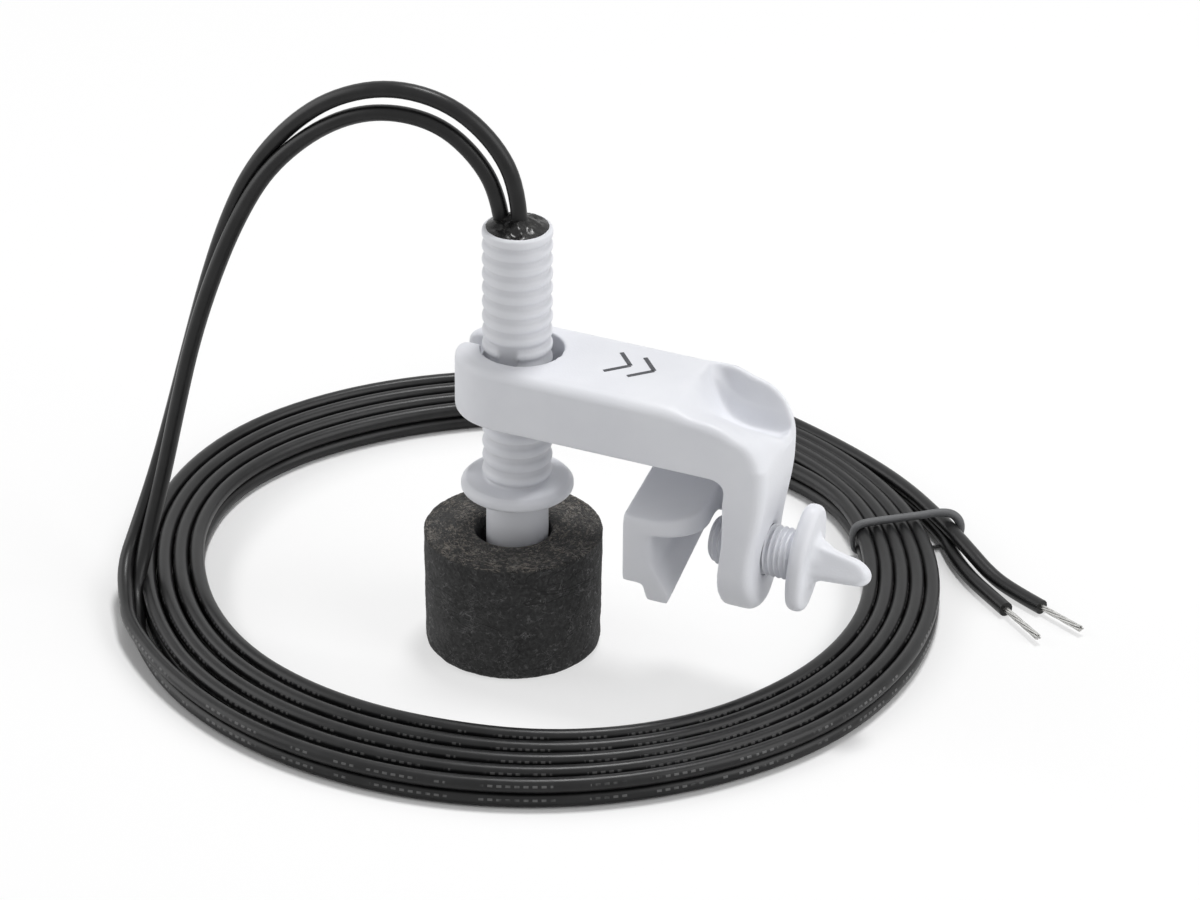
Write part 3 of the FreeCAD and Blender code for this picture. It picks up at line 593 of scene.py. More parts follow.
# one tooth of the thread: way along the screw, radius
TOOTH = [
    (0.0, 3.86), (0.10, 3.86), (0.20, 3.95), (0.38, 4.46), (0.46, 4.62), (0.53, 4.68),
    (0.60, 4.62), (0.68, 4.46), (0.86, 3.95), (0.96, 3.86), (THREAD_PITCH, 3.86),
]

# rings of the blade's root: place along the screw, half its width, half its height
FLARE = [
    (56.4, 3.2, 6.6), (57.7, 3.1, 6.3), (58.3, 2.6, 4.9), (59.1, 2.2, 4.0), (60.4, 1.9, 3.3),
    (61.6, 1.6, 2.7),
]


def taper_tip(x, y, z):
    """Lead-in taper at the screw's tip."""
    most = LEAD_IN_RADIUS + max(0.0, x - SCREW_TIP)
    share = min(1.0, most / math.hypot(y, z - SCREW_Z))
    return x, y * share, SCREW_Z + (z - SCREW_Z) * share


def make_thread():
    bm = bmesh.new()
    start = SCREW_TIP - TURNS_BEFORE_TIP * THREAD_PITCH
    line = [bm.verts.new(Vector((start + x, 0.0, SCREW_Z + r)) * MM) for x, r in TOOTH]
    lines = [bm.edges.new(pair) for pair in zip(line, line[1:])]
    bmesh.ops.spin(
        bm, geom=line + lines, cent=(0.0, 0.0, SCREW_Z * MM), axis=(1.0, 0.0, 0.0),
        dvec=(THREAD_PITCH * MM / THREAD_STEPS, 0.0, 0.0),
        angle=math.tau * THREAD_TURNS, steps=THREAD_STEPS * THREAD_TURNS,
    )
    bmesh.ops.remove_doubles(bm, verts=bm.verts, dist=THREAD_MERGE)
    bmesh.ops.recalc_face_normals(bm, faces=bm.faces)
    trim(bm, (SCREW_TIP, 0.0, 0.0), (-1.0, 0.0, 0.0))
    trim(bm, (SCREW_HEAD + WING_OUT + THREAD_IN_WING, 0.0, 0.0), (1.0, 0.0, 0.0))
    reshape(bm, taper_tip)
    cap_openings(bm)
    bmesh.ops.recalc_face_normals(bm, faces=bm.faces)
    return bm


def blade_flare():
    """Root of the thumb blade: an oval that draws in from the wing to the blade."""
    bm = bmesh.new()
    face = bmesh.ops.create_circle(
        bm, cap_ends=True, segments=FLARE_SIDES, radius=1.0, matrix=Matrix.Rotation(math.pi / 2, 4, "Y")
    )["verts"][0].link_faces[0]
    across, tall = 1.0, 1.0
    for x, new_across, new_tall in FLARE:
        if x > FLARE[0][0]:
            grown = bmesh.ops.extrude_face_region(bm, geom=[face])["geom"]
            face = next(part for part in grown if isinstance(part, bmesh.types.BMFace))
        for vert in face.verts:
            vert.co = (x, vert.co.y * new_across / across, vert.co.z * new_tall / tall)
        across, tall = new_across, new_tall
    bmesh.ops.recalc_face_normals(bm, faces=bm.faces)
    bmesh.ops.transform(bm, matrix=Matrix.Scale(MM, 4), verts=bm.verts)
    return bm


def shape_wing(x, y, z):
    """The wing and the blade at their moulded size, with the screw's axis at no height."""
    blade = blend(x, *BLADE_ROOT)
    tip = blend(x, *BLADE_TAPER)
    up = (z - SCREW_Z) * (WING_TALL - TIP_SLIM * tip) - BLADE_DROP * blade - TIP_DROP * tip
    return x + WING_OUT, y * part_way(WING_ACROSS, 1.0, blade), up


def make_thumb_screw():
    bm = cad_copy("thumb_screw")
    slice_at(bm, (HEAD_CUT, 0.0, 0.0), (-1.0, 0.0, 0.0))
    reshape(bm, shape_wing)
    absorb(bm, blade_flare())
    bm = fused(bm, WING_GRAIN)
    relax(bm, 4, x=(BLADE_SOFT_FROM, math.inf))
    relax(bm, 3)
    on_axis = Matrix.Translation((0.0, 0.0, SCREW_Z * MM)) @ Matrix.Rotation(WING_TURN, 4, "X")
    bmesh.ops.transform(bm, matrix=on_axis, verts=bm.verts)
    absorb(bm, make_thread())
    piece("threaded_screw", bm, "white_plastic", "screw", ["thumb_screw"])


make_thumb_screw()


# Bracket: the moulding with the softness that its edges have

BRACKET_GRAIN = 0.30
CORNER_RADIUS = 11.0
CORNER = (LEG_OUTER - CORNER_RADIUS, ARM_TOP - CORNER_RADIUS)
CORNER_STEPS = 12
SKIN = 0.5
ARM_CUT = 41.0
LEG_CUT = 40.4
LEG_INNER = 43.8
ROOF_UNDER = 34.25

SHOULDER_FROM = 29.0
SHOULDER_TOP = ARM_TOP - 0.05
SHOULDER_TOP_FROM = 33.5
SHOULDER_UNDER = 52.5
SHOULDER_INNER = 44.2
SHOULDER_FOOT = 41.0
SHOULDER_BACK = 2.0
SHOULDER_ROUND = 2.8
ROUND_STEPS = 5
SCOOP_SLOPE = 0.44

JAW_TOP = 36.0
JAW_SIDE = HALF_WIDTH - 0.1
JAW_ROUND = 1.9
JAW_ROUND_FROM = (31.0, 27.0)
JAW_BACK_SHARE = 0.333
JAW = [
    (25.7, JAW_TOP), (25.7, 24.2), (29.6, 24.2), (30.4, 21.3), (35.0, 21.3), (35.0, 22.6),
    (31.9, 27.5), (31.2, 30.0), (31.2, JAW_TOP),
]

# the deeper floor of the scoop, and where it fades in and out
SCOOP_DEEPER = 2.7
SCOOP_START_X = (33.2, 38.5)
SCOOP_END_X = (48.0, 50.2)
SCOOP_END_SHARE = 0.5
SCOOP_FLOOR_Y = (-3.0, 6.5)
SCOOP_WALL_Y = (7.7, 8.5)
SCOOP_FLOOR_Z = (49.6, 51.4)

# the higher rim behind the scoop, and where it fades in and out
RIM_LIFT = 1.25
RIM_START_X = (32.8, 36.6)
RIM_END_X = (37.2, 42.5)
RIM_Y = (6.8, 8.6)
RIM_Z = (54.5, 58.0)

# how far the leg's faces lean out, low down and high up, and the heights between
LEAN_INNER = (0.2, 1.4)
LEAN_INNER_Z = (26.0, 38.0)
LEAN_FRONT = (0.2, 2.4)
LEAN_BACK = (-1.9, -0.2)
LEAN_OUTER_Z = (30.0, 47.0)

# the lean fades in from the arm to the leg, and starts further back high up
LEAN_START_X = (40.0, 34.0)
LEAN_START_Z = (46.0, 49.0)
LEAN_FULL_X = 45.5
LEG_SLIM = 0.20
LEG_SLIM_Z = (28.0, 52.0)

HOLE_FOUND = 4.86
HOLE_WANTED = 4.80
HOLE_REACH = (4.0, 5.8)
HOLE_X = (41.0, 54.0)

# the arm softens step by step towards the scoop: from this place on, this many times
SOFT_ARM = [(28.0, 6), (29.5, 12), (31.0, 22), (32.5, 30), (34.0, 40)]
SOFT_ARM_Y = (-math.inf, 4.5)
SOFT_ARM_Z = (51.5, math.inf)
SOFT_JAW_X = (-math.inf, 43.0)
SOFT_JAW_Z = (-math.inf, 46.0)
SCOOP_LIP_X = (46.5, math.inf)
SCOOP_LIP_Y = (2.0, math.inf)
SCOOP_LIP_Z = (46.0, 55.0)


def on_skin(x, z):
    """Whether a point of the shoulder's outline lies on the outside of the bracket."""
    off_corner = math.hypot(x - CORNER[0], z - CORNER[1])
    return z > ARM_TOP - SKIN or x > LEG_OUTER - SKIN or off_corner > CORNER_RADIUS - SKIN


def fall_away(x, z):
    """The shoulder's outline at its back, lower along the outside by the scoop's slope."""
    drop = SCOOP_SLOPE * (SHOULDER_BACK + HALF_WIDTH)
    if not on_skin(x, z):
        return x, z
    if x <= CORNER[0]:
        return x, z - drop
    if z <= CORNER[1]:
        return x - drop, z
    share = 1.0 - drop / CORNER_RADIUS
    return CORNER[0] + (x - CORNER[0]) * share, CORNER[1] + (z - CORNER[1]) * share


def corner_shoulder():
    """The round outer corner in front of the scoop, which falls away towards the back."""
    outline = [
        (SHOULDER_FROM, SHOULDER_UNDER), (SHOULDER_INNER, SHOULDER_UNDER), (SHOULDER_INNER, SHOULDER_FOOT),
        (LEG_OUTER, SHOULDER_FOOT), (LEG_OUTER, CORNER[1]),
    ]
    for step in range(1, CORNER_STEPS + 1):
        angle = math.pi / 2 * step / CORNER_STEPS
        out, up = CORNER_RADIUS * math.cos(angle), CORNER_RADIUS * math.sin(angle)
        outline.append((CORNER[0] + out, CORNER[1] + up))
    outline.append((SHOULDER_TOP_FROM, SHOULDER_TOP))
    bm = prism(outline, -HALF_WIDTH, SHOULDER_BACK, fall_away)
    round_over(bm, lambda x, y, z: y < 0.0 and on_skin(x, z), SHOULDER_ROUND, ROUND_STEPS)
    return bm


def clamp_jaw():
    """The jaw with its slanted nib, both rising towards the back."""
    bm = prism(JAW, -JAW_SIDE, JAW_SIDE, lambda x, z: (x, JAW_TOP - (JAW_TOP - z) * JAW_BACK_SHARE))
    from_x, from_z = JAW_ROUND_FROM
    round_over(bm, lambda x, y, z: y < 0.0 and x > from_x and z > from_z, JAW_ROUND, ROUND_STEPS)
    return bm


def deepen_scoop(x, y, z):
    """The scoop's floor falls away more steeply along the foot of its wall."""
    along = blend(x, *SCOOP_START_X) * (1.0 - SCOOP_END_SHARE * blend(x, *SCOOP_END_X))
    across = blend(y, *SCOOP_FLOOR_Y) * (1.0 - blend(y, *SCOOP_WALL_Y))
    return x, y, z - SCOOP_DEEPER * along * across * blend(z, *SCOOP_FLOOR_Z)


def raise_rim(x, y, z):
    """The top of the scoop's wall runs on from the arm without a dip."""
    along = blend(x, *RIM_START_X) * (1.0 - blend(x, *RIM_END_X))
    return x, y, z + RIM_LIFT * along * blend(y, *RIM_Y) * blend(z, *RIM_Z)


def leg_lean(x, y, z):
    """The leg's faces are not quite square to the arm: wider in front, slimmer at the back."""
    depth = min(1.0, max(0.0, (y + HALF_WIDTH) / (2 * HALF_WIDTH)))
    outward = min(1.0, max(0.0, (x - LEG_INNER) / (LEG_OUTER - LEG_INNER)))
    high = blend(z, *LEAN_OUTER_Z)
    inner = part_way(*LEAN_INNER, blend(z, *LEAN_INNER_Z)) * (1.0 - depth)
    outer = part_way(part_way(*LEAN_FRONT, high), part_way(*LEAN_BACK, high), depth)
    share = blend(x, part_way(*LEAN_START_X, blend(z, *LEAN_START_Z)), LEAN_FULL_X)
    slim = LEG_SLIM * (1.0 - blend(z, *LEG_SLIM_Z)) * share if y > 0.0 else 0.0
    return x + part_way(inner, outer, outward) * share, y * (1.0 - slim), z


def fit_screw_hole(x, y, z):
    """Keeps the threaded hole round and close to the screw."""
    reach = math.hypot(y, z - SCREW_Z)
    if not (HOLE_X[0] < x < HOLE_X[1] and HOLE_REACH[0] < reach < HOLE_REACH[1]):
        return x, y, z
    edge = HOLE_REACH[1]
    fit = part_way(HOLE_WANTED, edge, (reach - HOLE_FOUND) / (edge - HOLE_FOUND))
    return x, y * fit / reach, SCREW_Z + (z - SCREW_Z) * fit / reach


def make_bracket():
    bm = cad_copy("bracket")
    slice_at(bm, (ARM_CUT, 0.0, 0.0), (1.0, 0.0, 0.0))
    slice_at(bm, (0.0, 0.0, ROOF_UNDER), (0.0, 0.0, -1.0))
    leg = cad_copy("bracket")
    slice_at(leg, (LEG_CUT, 0.0, 0.0), (-1.0, 0.0, 0.0))
    for part in (leg, corner_shoulder(), clamp_jaw()):
        absorb(bm, part)
    bm = fused(bm, BRACKET_GRAIN)
    for start, times in SOFT_ARM:
        relax(bm, times, x=(start, math.inf), y=SOFT_ARM_Y, z=SOFT_ARM_Z)
    relax(bm, 14, x=SOFT_JAW_X, z=SOFT_JAW_Z)
    reshape(bm, deepen_scoop)
    relax(bm, 6, x=SCOOP_LIP_X, y=SCOOP_LIP_Y, z=SCOOP_LIP_Z)
    relax(bm, 4)
    reshape(bm, raise_rim, leg_lean, fit_screw_hole)
    piece("soft_bracket", bm, "white_plastic", "clamp", ["bracket"], crease=180.0)


make_bracket()


# Stem: the ribs as soft rolls

STEM_GRAIN = 0.30
RIB_TOP = 82.2
RIB_CREST = 6.35
RIB_ROOT = 6.0
RIB_SINK = 1.8
KEY_TURN = math.radians(9.0)


def sink_grooves(x, y, z):
    """Deepens the grooves between the ribs."""
    reach = math.hypot(x, y)
    if not (FLANGE_TOP + 0.2 < z < RIB_TOP and RIB_ROOT - 0.1 < reach < RIB_CREST):
        return x, y, z
    sunk = RIB_CREST - (RIB_CREST - reach) * RIB_SINK
    return x * sunk / reach, y * sunk / reach, z


def make_stem():
    bm = cad_copy("stem")
    reshape(bm, sink_grooves)
    bm = fused(bm, STEM_GRAIN)
    relax(bm, 2, z=(FLANGE_TOP + 0.4, math.inf))
    relax(bm, 1)
    bmesh.ops.transform(bm, matrix=Matrix.Rotation(KEY_TURN, 4, "Z"), verts=bm.verts)
    piece("ribbed_stem", bm, "white_plastic", "switch", ["stem"], RIBBED_WHITE_GROOVE_SHADE, 180.0)


make_stem()


# Float: cut foam, a little wider at the top and not quite smooth

FLOAT_GRAIN = 0.36
FLOAT_EDGE = 0.9
EDGE_POWER = 5
LEAST_BULGE = 0.3
FLOAT_SPREAD = 0.022
FLOAT_ASIDE = Vector((-0.66, -0.31, 0.0))
FOAM_OUTSIDE = (11.0, 15.0)
SEAT_OUTSIDE = (10.8, 12.5)
SEAT_ABOVE = (15.5, 18.5)

# unevenness of the foam: how fine, how deep
FOAM_PITS = [(0.35, 0.10), (1.3, 0.05), (3.1, 0.03)]


def crisp_edge(place):
    """Brings a point of the rounded top edge out to the sharper edge that cut foam has."""
    reach = math.hypot(place.x, place.y)
    out = reach - FLOAT_RADIUS + FLOAT_EDGE
    rise = place.z - FLOAT_HEIGHT + FLOAT_EDGE
    if out <= 0.0 or rise <= 0.0:
        return place
    bulge = (out ** EDGE_POWER + rise ** EDGE_POWER) ** (1.0 / EDGE_POWER)
    crisp = FLOAT_EDGE / max(bulge, LEAST_BULGE)
    wider = (FLOAT_RADIUS - FLOAT_EDGE + out * crisp) / reach
    return Vector((place.x * wider, place.y * wider, FLOAT_HEIGHT - FLOAT_EDGE + rise * crisp))


def make_float():
    bm = fused(cad_copy("float_body"), FLOAT_GRAIN)
    relax(bm, 1)
    bm.normal_update()
    for vert in bm.verts:
        place = crisp_edge(vert.co / MM)
        reach = math.hypot(place.x, place.y)
        outer = blend(reach, *FOAM_OUTSIDE)
        spread = 1.0 + FLOAT_SPREAD * outer * max(0.0, place.z) / FLOAT_HEIGHT
        pit = sum(noise.noise(place * fine) * deep for fine, deep in FOAM_PITS)
        place = Vector((place.x * spread, place.y * spread, place.z)) + vert.normal * pit * outer
        place.z = max(place.z, 0.0)
        # it hangs to one side on the stem; the magnet's seat stays
        place += FLOAT_ASIDE * max(blend(reach, *SEAT_OUTSIDE), blend(place.z, *SEAT_ABOVE))
        vert.co = place * MM
    piece("cut_float", bm, "float_foam", "float", ["float_body"], crease=180.0)


make_float()


# Mark on the arm that points to the thumb scoop: two chevrons, slightly raised

CHEVRON_TIPS = (21.4, 26.0)
CHEVRON_ARM = 5.2
CHEVRON_STROKE = 0.8
CHEVRON_THICK = 0.10
CHEVRON_TURN = math.radians(42.0)
MARK_MIDDLE_Y = 1.6
MARK_RISE = 0.03
MARK_BEVEL = 0.03


def make_mark():
    bm = bmesh.new()
    stroke = Matrix.Diagonal((CHEVRON_STROKE * MM, CHEVRON_ARM * MM, CHEVRON_THICK * MM, 1.0))
    for tip in CHEVRON_TIPS:
        place = Matrix.Translation((tip * MM, MARK_MIDDLE_Y * MM, (ARM_TOP + MARK_RISE) * MM))
        for side in (-1.0, 1.0):
            turn = Matrix.Rotation(CHEVRON_TURN * side, 4, "Z")
            reach = Matrix.Translation((0.0, side * CHEVRON_ARM / 2 * MM, 0.0))
            bmesh.ops.create_cube(bm, size=1.0, matrix=place @ turn @ reach @ stroke)
    bevel(bm, bm.edges[:], MARK_BEVEL, 1)
    piece("arm_mark", bm, "lead_black", "clamp", finish=INK)


make_mark()


# Resin: a lumpy glossy cap that climbs a little round both leads

CAP_RADIUS = 5.75
CAP_EDGE_Z = STEM_TOP - 0.05
CAP_RISE = 1.25
CAP_SKIRT = 1.0
CAP_RINGS = 14
CAP_SIDES = 56
CAP_RIM = 1.2
CLIMB = 1.15
CLIMB_SPREAD = 1.75
INNER_LEADS = ("lead_a_inner", "lead_b_inner")
LEAD_MIDDLES = [sum(corner[0] for corner in corners(node)) / 2 for node in INNER_LEADS]


def lump_resin(x, y, z):
    """Lumps, and the climb round each lead, that fade out at the rim."""
    inside = max(0.0, min(1.0, (CAP_RADIUS - math.hypot(x, y)) / CAP_RIM))
    lump = noise.noise(Vector((x * 0.55, y * 0.55, 3.1))) * 0.60
    lump += noise.noise(Vector((x, y, 0.7)) * 1.3) * 0.28
    for middle in LEAD_MIDDLES:
        lump += CLIMB * math.exp(-(math.hypot(x - middle, y) / CLIMB_SPREAD) ** 2)
    return x, y, z + lump * inside


def make_resin_cap():
    bm = bmesh.new()
    line = []
    for ring in range(CAP_RINGS + 1):
        out = 1.0 - ring / CAP_RINGS
        z = CAP_EDGE_Z + CAP_RISE * (1.0 - out ** 2)
        line.append(bm.verts.new(Vector((CAP_RADIUS * out, 0.0, z)) * MM))
    lines = [bm.edges.new(pair) for pair in zip(line, line[1:])]
    bmesh.ops.spin(
        bm, geom=line + lines, cent=(0.0, 0.0, 0.0), axis=(0.0, 0.0, 1.0), angle=math.tau,
        steps=CAP_SIDES, use_merge=True,
    )
    bmesh.ops.remove_doubles(bm, verts=bm.verts, dist=MERGE)
    reshape(bm, lump_resin)
    rim = [edge for edge in bm.edges if edge.is_boundary]
    for vert in moved_verts(bmesh.ops.extrude_edge_only(bm, edges=rim)):
        vert.co.z -= CAP_SKIRT * MM
    cap_openings(bm)
    bmesh.ops.recalc_face_normals(bm, faces=bm.faces)
    piece("resin_cap", bm, "potting", "switch", crease=60.0)


make_resin_cap()


# Curve helpers


def round_cord(name, diameter, roundness):
    """A curve, still without a route, that is round all along."""
    curve = bpy.data.curves.new(name, "CURVE")
    curve.dimensions = "3D"
    curve.bevel_depth = diameter / 2 * MM
    curve.bevel_resolution = roundness
    curve.use_fill_caps = True
    return curve


def add_route(curve, kind, points):
    spline = curve.splines.new(kind)
    spline.points.add(len(points) - 1)
    for knot, place in zip(spline.points, points):
        knot.co = (*(Vector(place) * MM), 1.0)
    return spline


def cord_piece(curve, slot, *stands_for):
    curve.materials.append(FINISH[slot])
    return settle(bpy.data.objects.new(curve.name, curve), "switch", stands_for)


# Leads: each one spline from the resin over the arch, round the coil, over the fold and out of the tie

LEAD_DIA = 2.8
ARCH_STOUT = 1.07
STOUT_SHORT_OF_COIL = 3
COIL_FIRST_RADIUS = 75.4
COIL_INNER_RADIUS = 59.4
COIL_INNER_SHIFT = (-1.2, 2.5)
COIL_START_DEG = -143.0
COIL_SWEEP_DEG = 1656.0
COIL_JOINS_DEG = (18.0, 9.0)
POINTS_PER_TURN = 24
TIE_DEG = 38.0
TIE_LIFT = 0.5
TIE_LIFT_DEG = 9.0
LOWER_Z = 1.4
UPPER_Z = 4.2

ARCH_A = [
    (-2.9, 0.0, 83.3), (-3.6, -0.5, 89.9), (-7.4, -1.5, 96.8), (-13.7, -2.5, 101.9),
    (-21.7, -3.8, 103.4), (-29.9, -4.8, 101.7), (-38.3, -5.6, 96.5), (-46.3, -6.7, 88.2),
    (-52.0, -7.6, 77.7), (-56.8, -8.5, 65.4), (-61.0, -9.2, 52.0), (-64.2, -9.7, 38.2),
    (-66.9, -10.6, 24.6), (-69.1, -13.5, 11.7), (-68.9, -19.2, 4.0), (-65.4, -24.8, 1.4),
    (-61.7, -31.7, 1.5),
]
ARCH_B = [
    (0.5, 0.0, 83.3), (0.2, 0.0, 91.2), (-3.9, -0.8, 99.7), (-11.8, -2.2, 106.3),
    (-22.4, -4.1, 108.3), (-33.0, -5.5, 104.9), (-42.2, -5.5, 97.4), (-50.2, -5.4, 87.0),
    (-55.3, -5.4, 75.8), (-59.4, -5.7, 63.2), (-63.2, -6.0, 49.4), (-66.6, -6.9, 35.7),
    (-69.7, -8.5, 22.8), (-72.3, -12.0, 11.6), (-71.7, -18.5, 7.2), (-67.4, -25.7, 4.6),
    (-62.5, -33.1, 4.2),
]
FOLD = [
    (14.0, 76.9, 2.8), (0.0, 79.2, 4.9), (-14.75, 78.1, 8.6), (-27.1, 74.1, 9.2), (-34.0, 77.6, 9.3),
    (-36.4, 85.0, 9.3), (-32.9, 91.9, 9.2), (-20.6, 95.4, 7.6), (-4.4, 94.9, 4.4), (14.3, 91.4, 2.85),
    (31.6, 84.4, 2.8), (45.6, 76.4, 2.9), (57.6, 66.5, 2.9),
]
END_A = [(62.4, 59.6, 1.45), (68.1, 53.6, 1.45), (73.5, 49.3, 1.45), (78.2, 45.6, 1.5)]
END_B = [(65.3, 59.4, 4.0), (71.3, 55.1, 2.4), (76.6, 52.6, 1.5), (83.9, 49.2, 1.5)]

# how far the hand-wound turns stray from round: angle, innermost strand, outermost strand
STRAY = [
    (-180, 2.8, 3.0), (-168, 1.3, 1.0), (-156, -0.3, -0.6), (-144, -1.2, -1.4), (-132, -1.2, -0.4),
    (-120, -1.8, 0.0), (-108, -2.2, -0.1), (-96, -2.4, 0.0), (-84, -2.5, 0.1), (-72, -1.6, 0.4),
    (-60, -0.3, 0.3), (-48, 0.3, 0.3), (-36, 0.9, 0.4), (-24, 0.9, 0.9), (-12, 1.1, 0.6),
    (0, 1.6, 0.0), (12, 1.5, 0.0), (24, 1.2, -0.2), (36, 1.2, -0.4), (48, 2.1, -0.6),
    (60, 2.1, -0.6), (72, 1.6, -0.2), (84, 0.9, 0.6), (96, 0.3, 1.6), (108, -0.1, 2.8),
    (120, -0.5, 3.8), (132, -0.5, 4.5), (144, 0.3, 5.2), (156, 1.6, 5.8), (168, 3.0, 5.0),
]


def stray_at(travel):
    """Radial change of a strand that has wound this far from the coil's start."""
    steps = len(STRAY)
    place = (COIL_START_DEG + travel + 180.0) % 360.0 / (360.0 / steps)
    share = place - int(place)
    low, high = STRAY[int(place) % steps], STRAY[(int(place) + 1) % steps]
    first = travel % 360.0
    last = first + (COIL_SWEEP_DEG - first) // 360.0 * 360.0
    depth = (travel - first) / (last - first)
    return part_way(part_way(low[2], high[2], share), part_way(low[1], high[1], share), depth)


def coil_points(height):
    """Control points of the turns, winding inwards; the spline runs just inside its control points."""
    points = []
    outward = 1.0 / math.cos(math.pi / POINTS_PER_TURN)
    travel, after = COIL_JOINS_DEG
    while travel < COIL_SWEEP_DEG - after:
        angle = math.radians(COIL_START_DEG + travel)
        along = Vector((math.cos(angle), math.sin(angle)))
        shift = COIL_INNER_SHIFT[0] * along.x + COIL_INNER_SHIFT[1] * along.y
        inner = COIL_INNER_RADIUS + shift + LEAD_DIA / 2
        wound = part_way(COIL_FIRST_RADIUS, inner, travel / COIL_SWEEP_DEG)
        radius = (wound + stray_at(travel)) * outward
        off_tie = (COIL_START_DEG + travel - TIE_DEG + 180.0) % 360.0 - 180.0
        lift = TIE_LIFT * math.exp(-((off_tie / TIE_LIFT_DEG) ** 2))
        points.append((COIL_MIDDLE[0] + radius * along.x, COIL_MIDDLE[1] + radius * along.y, height + lift))
        travel += 360.0 / POINTS_PER_TURN
    return points


def at_level(points, change):
    return [(x, y, z + change) for x, y, z in points]


def make_lead(name, arch, rest, *stands_for):
    curve = round_cord(name, LEAD_DIA, 5)
    curve.resolution_u = 6
    spline = add_route(curve, "NURBS", arch + rest)
    for knot in spline.points[:len(arch) - STOUT_SHORT_OF_COIL]:
        knot.radius = ARCH_STOUT
    spline.order_u = 3
    spline.use_endpoint_u = True
    return cord_piece(curve, "lead_black", *stands_for)


def spline_length(made):
    """Length of the cord's own line, without its thickness."""
    bare = made.data.copy()
    bare.bevel_depth = 0.0
    ghost = bpy.data.objects.new("measure", bare)
    mesh = bpy.data.meshes.new_from_object(ghost)
    total = 0.0
    for edge in mesh.edges:
        start, end = (mesh.vertices[index].co for index in edge.vertices)
        total += (end - start).length
    bpy.data.objects.remove(ghost)
    bpy.data.meshes.remove(mesh)
    bpy.data.curves.remove(bare)
    return total


rest_a = coil_points(LOWER_Z) + at_level(FOLD, -LEAD_DIA / 2) + END_A
rest_b = coil_points(UPPER_Z) + at_level(FOLD, LEAD_DIA / 2) + END_B
lead_a = make_lead("lead_a", ARCH_A, rest_a, "lead_a_arch", "lead_a_tail", "coil")
lead_b = make_lead("lead_b", ARCH_B, rest_b, "lead_b_arch", "lead_b_tail", "coil")
print("lead lengths", spline_length(lead_a), spline_length(lead_b))


# Stripped ends: seven tinned strands in a slow twist

STRANDS = 7
STRAND_DIA = 0.40
STRAND_RING = 0.385
STRAND_STEPS = 18
STRAND_FLARE = 0.12
STRAND_INSIDE = 1.0
STRAND_UNEVEN = 0.35


def make_strands(name, node, lead_end, length, twist_deg):
    before, start = (Vector(place) for place in lead_end[-2:])
    along = (start - before).normalized()
    side = along.cross(Vector((0.0, 0.0, 1.0))).normalized()
    over = side.cross(along)
    curve = round_cord(name, STRAND_DIA, 3)
    for strand in range(STRANDS):
        # six strands lie round the seventh, and no two end at one length
        ring = STRAND_RING if strand < STRANDS - 1 else 0.0
        whole = length - STRAND_UNEVEN * ((strand * 5) % STRANDS) / STRANDS
        points = []
        for step in range(STRAND_STEPS + 1):
            share = step / STRAND_STEPS
            angle = math.radians(360.0 / (STRANDS - 1) * strand + twist_deg * share)
            around = side * math.cos(angle) + over * math.sin(angle)
            place = start + along * (whole * share - STRAND_INSIDE * (1.0 - share))
            points.append(place + around * ring * (1.0 + STRAND_FLARE * share ** 3))
        add_route(curve, "POLY", points)
    return cord_piece(curve, "tinned_core", node)


strands_a = make_strands("strands_a", "bare_end_a", END_A, 11.6, 210.0)
strands_b = make_strands("strands_b", "bare_end_b", END_B, 10.4, 190.0)


# Tie: a soft grey band over the turns, round the tail and back underneath

TIE_DIA = 1.5

# way out from the coil's middle, way aside, height, thickness as a share
TIE_ROUTE = [
    (61.0, 0.2, 3.2, 0.7), (61.3, 0.2, 5.9, 1.0), (63.0, 0.1, 6.75, 1.0), (66.0, 0.0, 6.85, 1.0),
    (70.5, -0.1, 6.9, 1.0), (75.0, -0.1, 7.0, 1.0), (78.6, 0.0, 7.25, 1.05), (80.9, 0.5, 6.75, 1.15),
    (82.1, 1.0, 4.9, 1.2), (82.0, 1.2, 2.4, 0.9), (80.8, 1.0, 0.5, 0.45), (76.0, 0.6, 0.22, 0.36),
    (70.0, 0.3, 0.22, 0.36), (65.0, 0.2, 0.22, 0.36), (61.6, 0.2, 0.5, 0.45),
]


def make_tie():
    curve = round_cord("tie_band", TIE_DIA, 4)
    curve.resolution_u = 8
    turn = Matrix.Rotation(math.radians(TIE_DEG), 3, "Z")
    points = []
    for out, aside, z, _ in TIE_ROUTE:
        points.append(turn @ Vector((out, -aside, 0.0)) + Vector((*COIL_MIDDLE, z)))
    spline = add_route(curve, "NURBS", points)
    for knot, stop in zip(spline.points, TIE_ROUTE):
        knot.radius = stop[-1]
    spline.order_u = 3
    spline.use_cyclic_u = True
    return cord_piece(curve, "tie", "coil_tie")


tie_band = make_tie()


# Floor, light and world

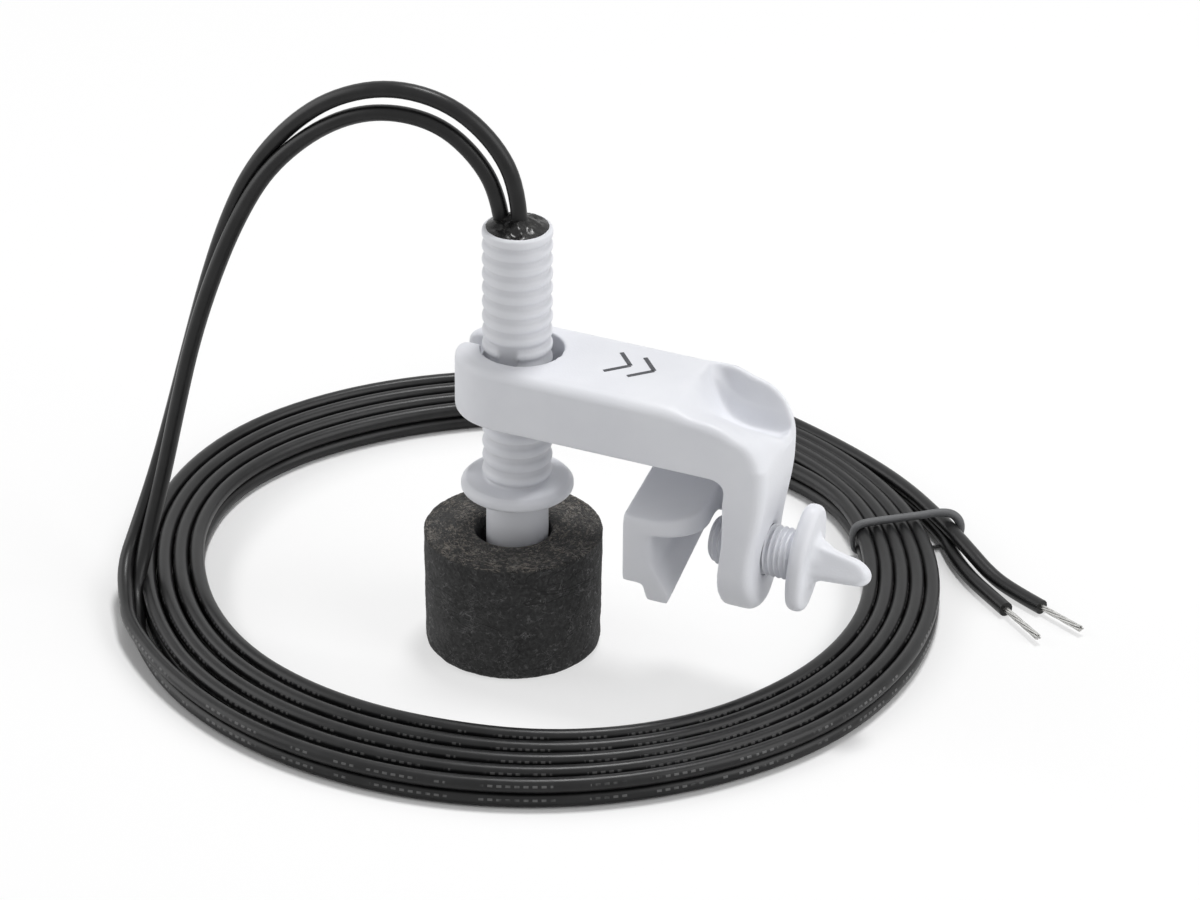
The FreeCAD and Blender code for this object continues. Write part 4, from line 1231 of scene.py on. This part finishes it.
FLOOR_HALF = 6.0
FLOOR_GLOW = 0.6
AMBIENT = 0.22
UNDER_COIL_FROM = (53.5 * MM, 59.0 * MM)
UNDER_COIL_TO = (85.0 * MM, 77.0 * MM)


def pale_floor():
    """White ground that takes shadows, with a share of plain white where the camera sees it."""
    s = new_finish("pale_floor")
    s.put(Base_Color=(0.95, 0.95, 0.95), Roughness=0.9, Specular_IOR_Level=0.1)
    surface = s.tree.nodes["Material Output"].inputs["Surface"]
    lit = Sock(s, surface.links[0].from_socket)
    # the ground under the coil keeps its full shadow
    x, y, z = s.split(s.place())
    reach = from_coil_middle(x, y)[2]
    under = reach.between(*UNDER_COIL_FROM) * reach.between(*UNDER_COIL_TO)
    share = s.seen() * (1.0 - under) * FLOOR_GLOW
    glow = s.node("ShaderNodeEmission")
    s.feed(surface, s.node("ShaderNodeMixShader", {}, {0: share, 1: lit, 2: glow}))
    return s.owner


def make_floor():
    mesh = bpy.data.meshes.new("floor")
    bm = bmesh.new()
    bmesh.ops.create_grid(bm, x_segments=1, y_segments=1, size=FLOOR_HALF)
    bm.to_mesh(mesh)
    bm.free()
    mesh.materials.append(pale_floor())
    floor = bpy.data.objects.new("floor", mesh)
    scene.collection.objects.link(floor)


def make_world():
    scene.world = bpy.data.worlds.new("studio")
    s = Shade(scene.world, "Background")
    s.put(Color=(1.0, 1.0, 1.0), Strength=AMBIENT + s.seen() * (1.0 - AMBIENT))


def soft_lamp(name, place, aim, size, power):
    data = bpy.data.lights.new(name, "AREA")
    data.shape = "DISK"
    data.size = size
    data.energy = power
    lamp = bpy.data.objects.new(name, data)
    scene.collection.objects.link(lamp)
    back = Vector(place) - Vector(aim)
    lamp.matrix_world = Matrix.Translation(place) @ back.to_track_quat("Z", "Y").to_matrix().to_4x4()


make_floor()
make_world()
soft_lamp("top_lamp", (0.0, 0.30, 1.25), (0.0, 0.02, 0.03), 0.28, 8.5)
soft_lamp("right_lamp", (1.15, 0.05, 0.75), (0.0, 0.0, 0.04), 1.2, 8.6)
soft_lamp("left_lamp", (-1.10, -0.35, 0.50), (0.0, 0.0, 0.04), 1.2, 6.4)

scene.view_settings.view_transform = "Standard"
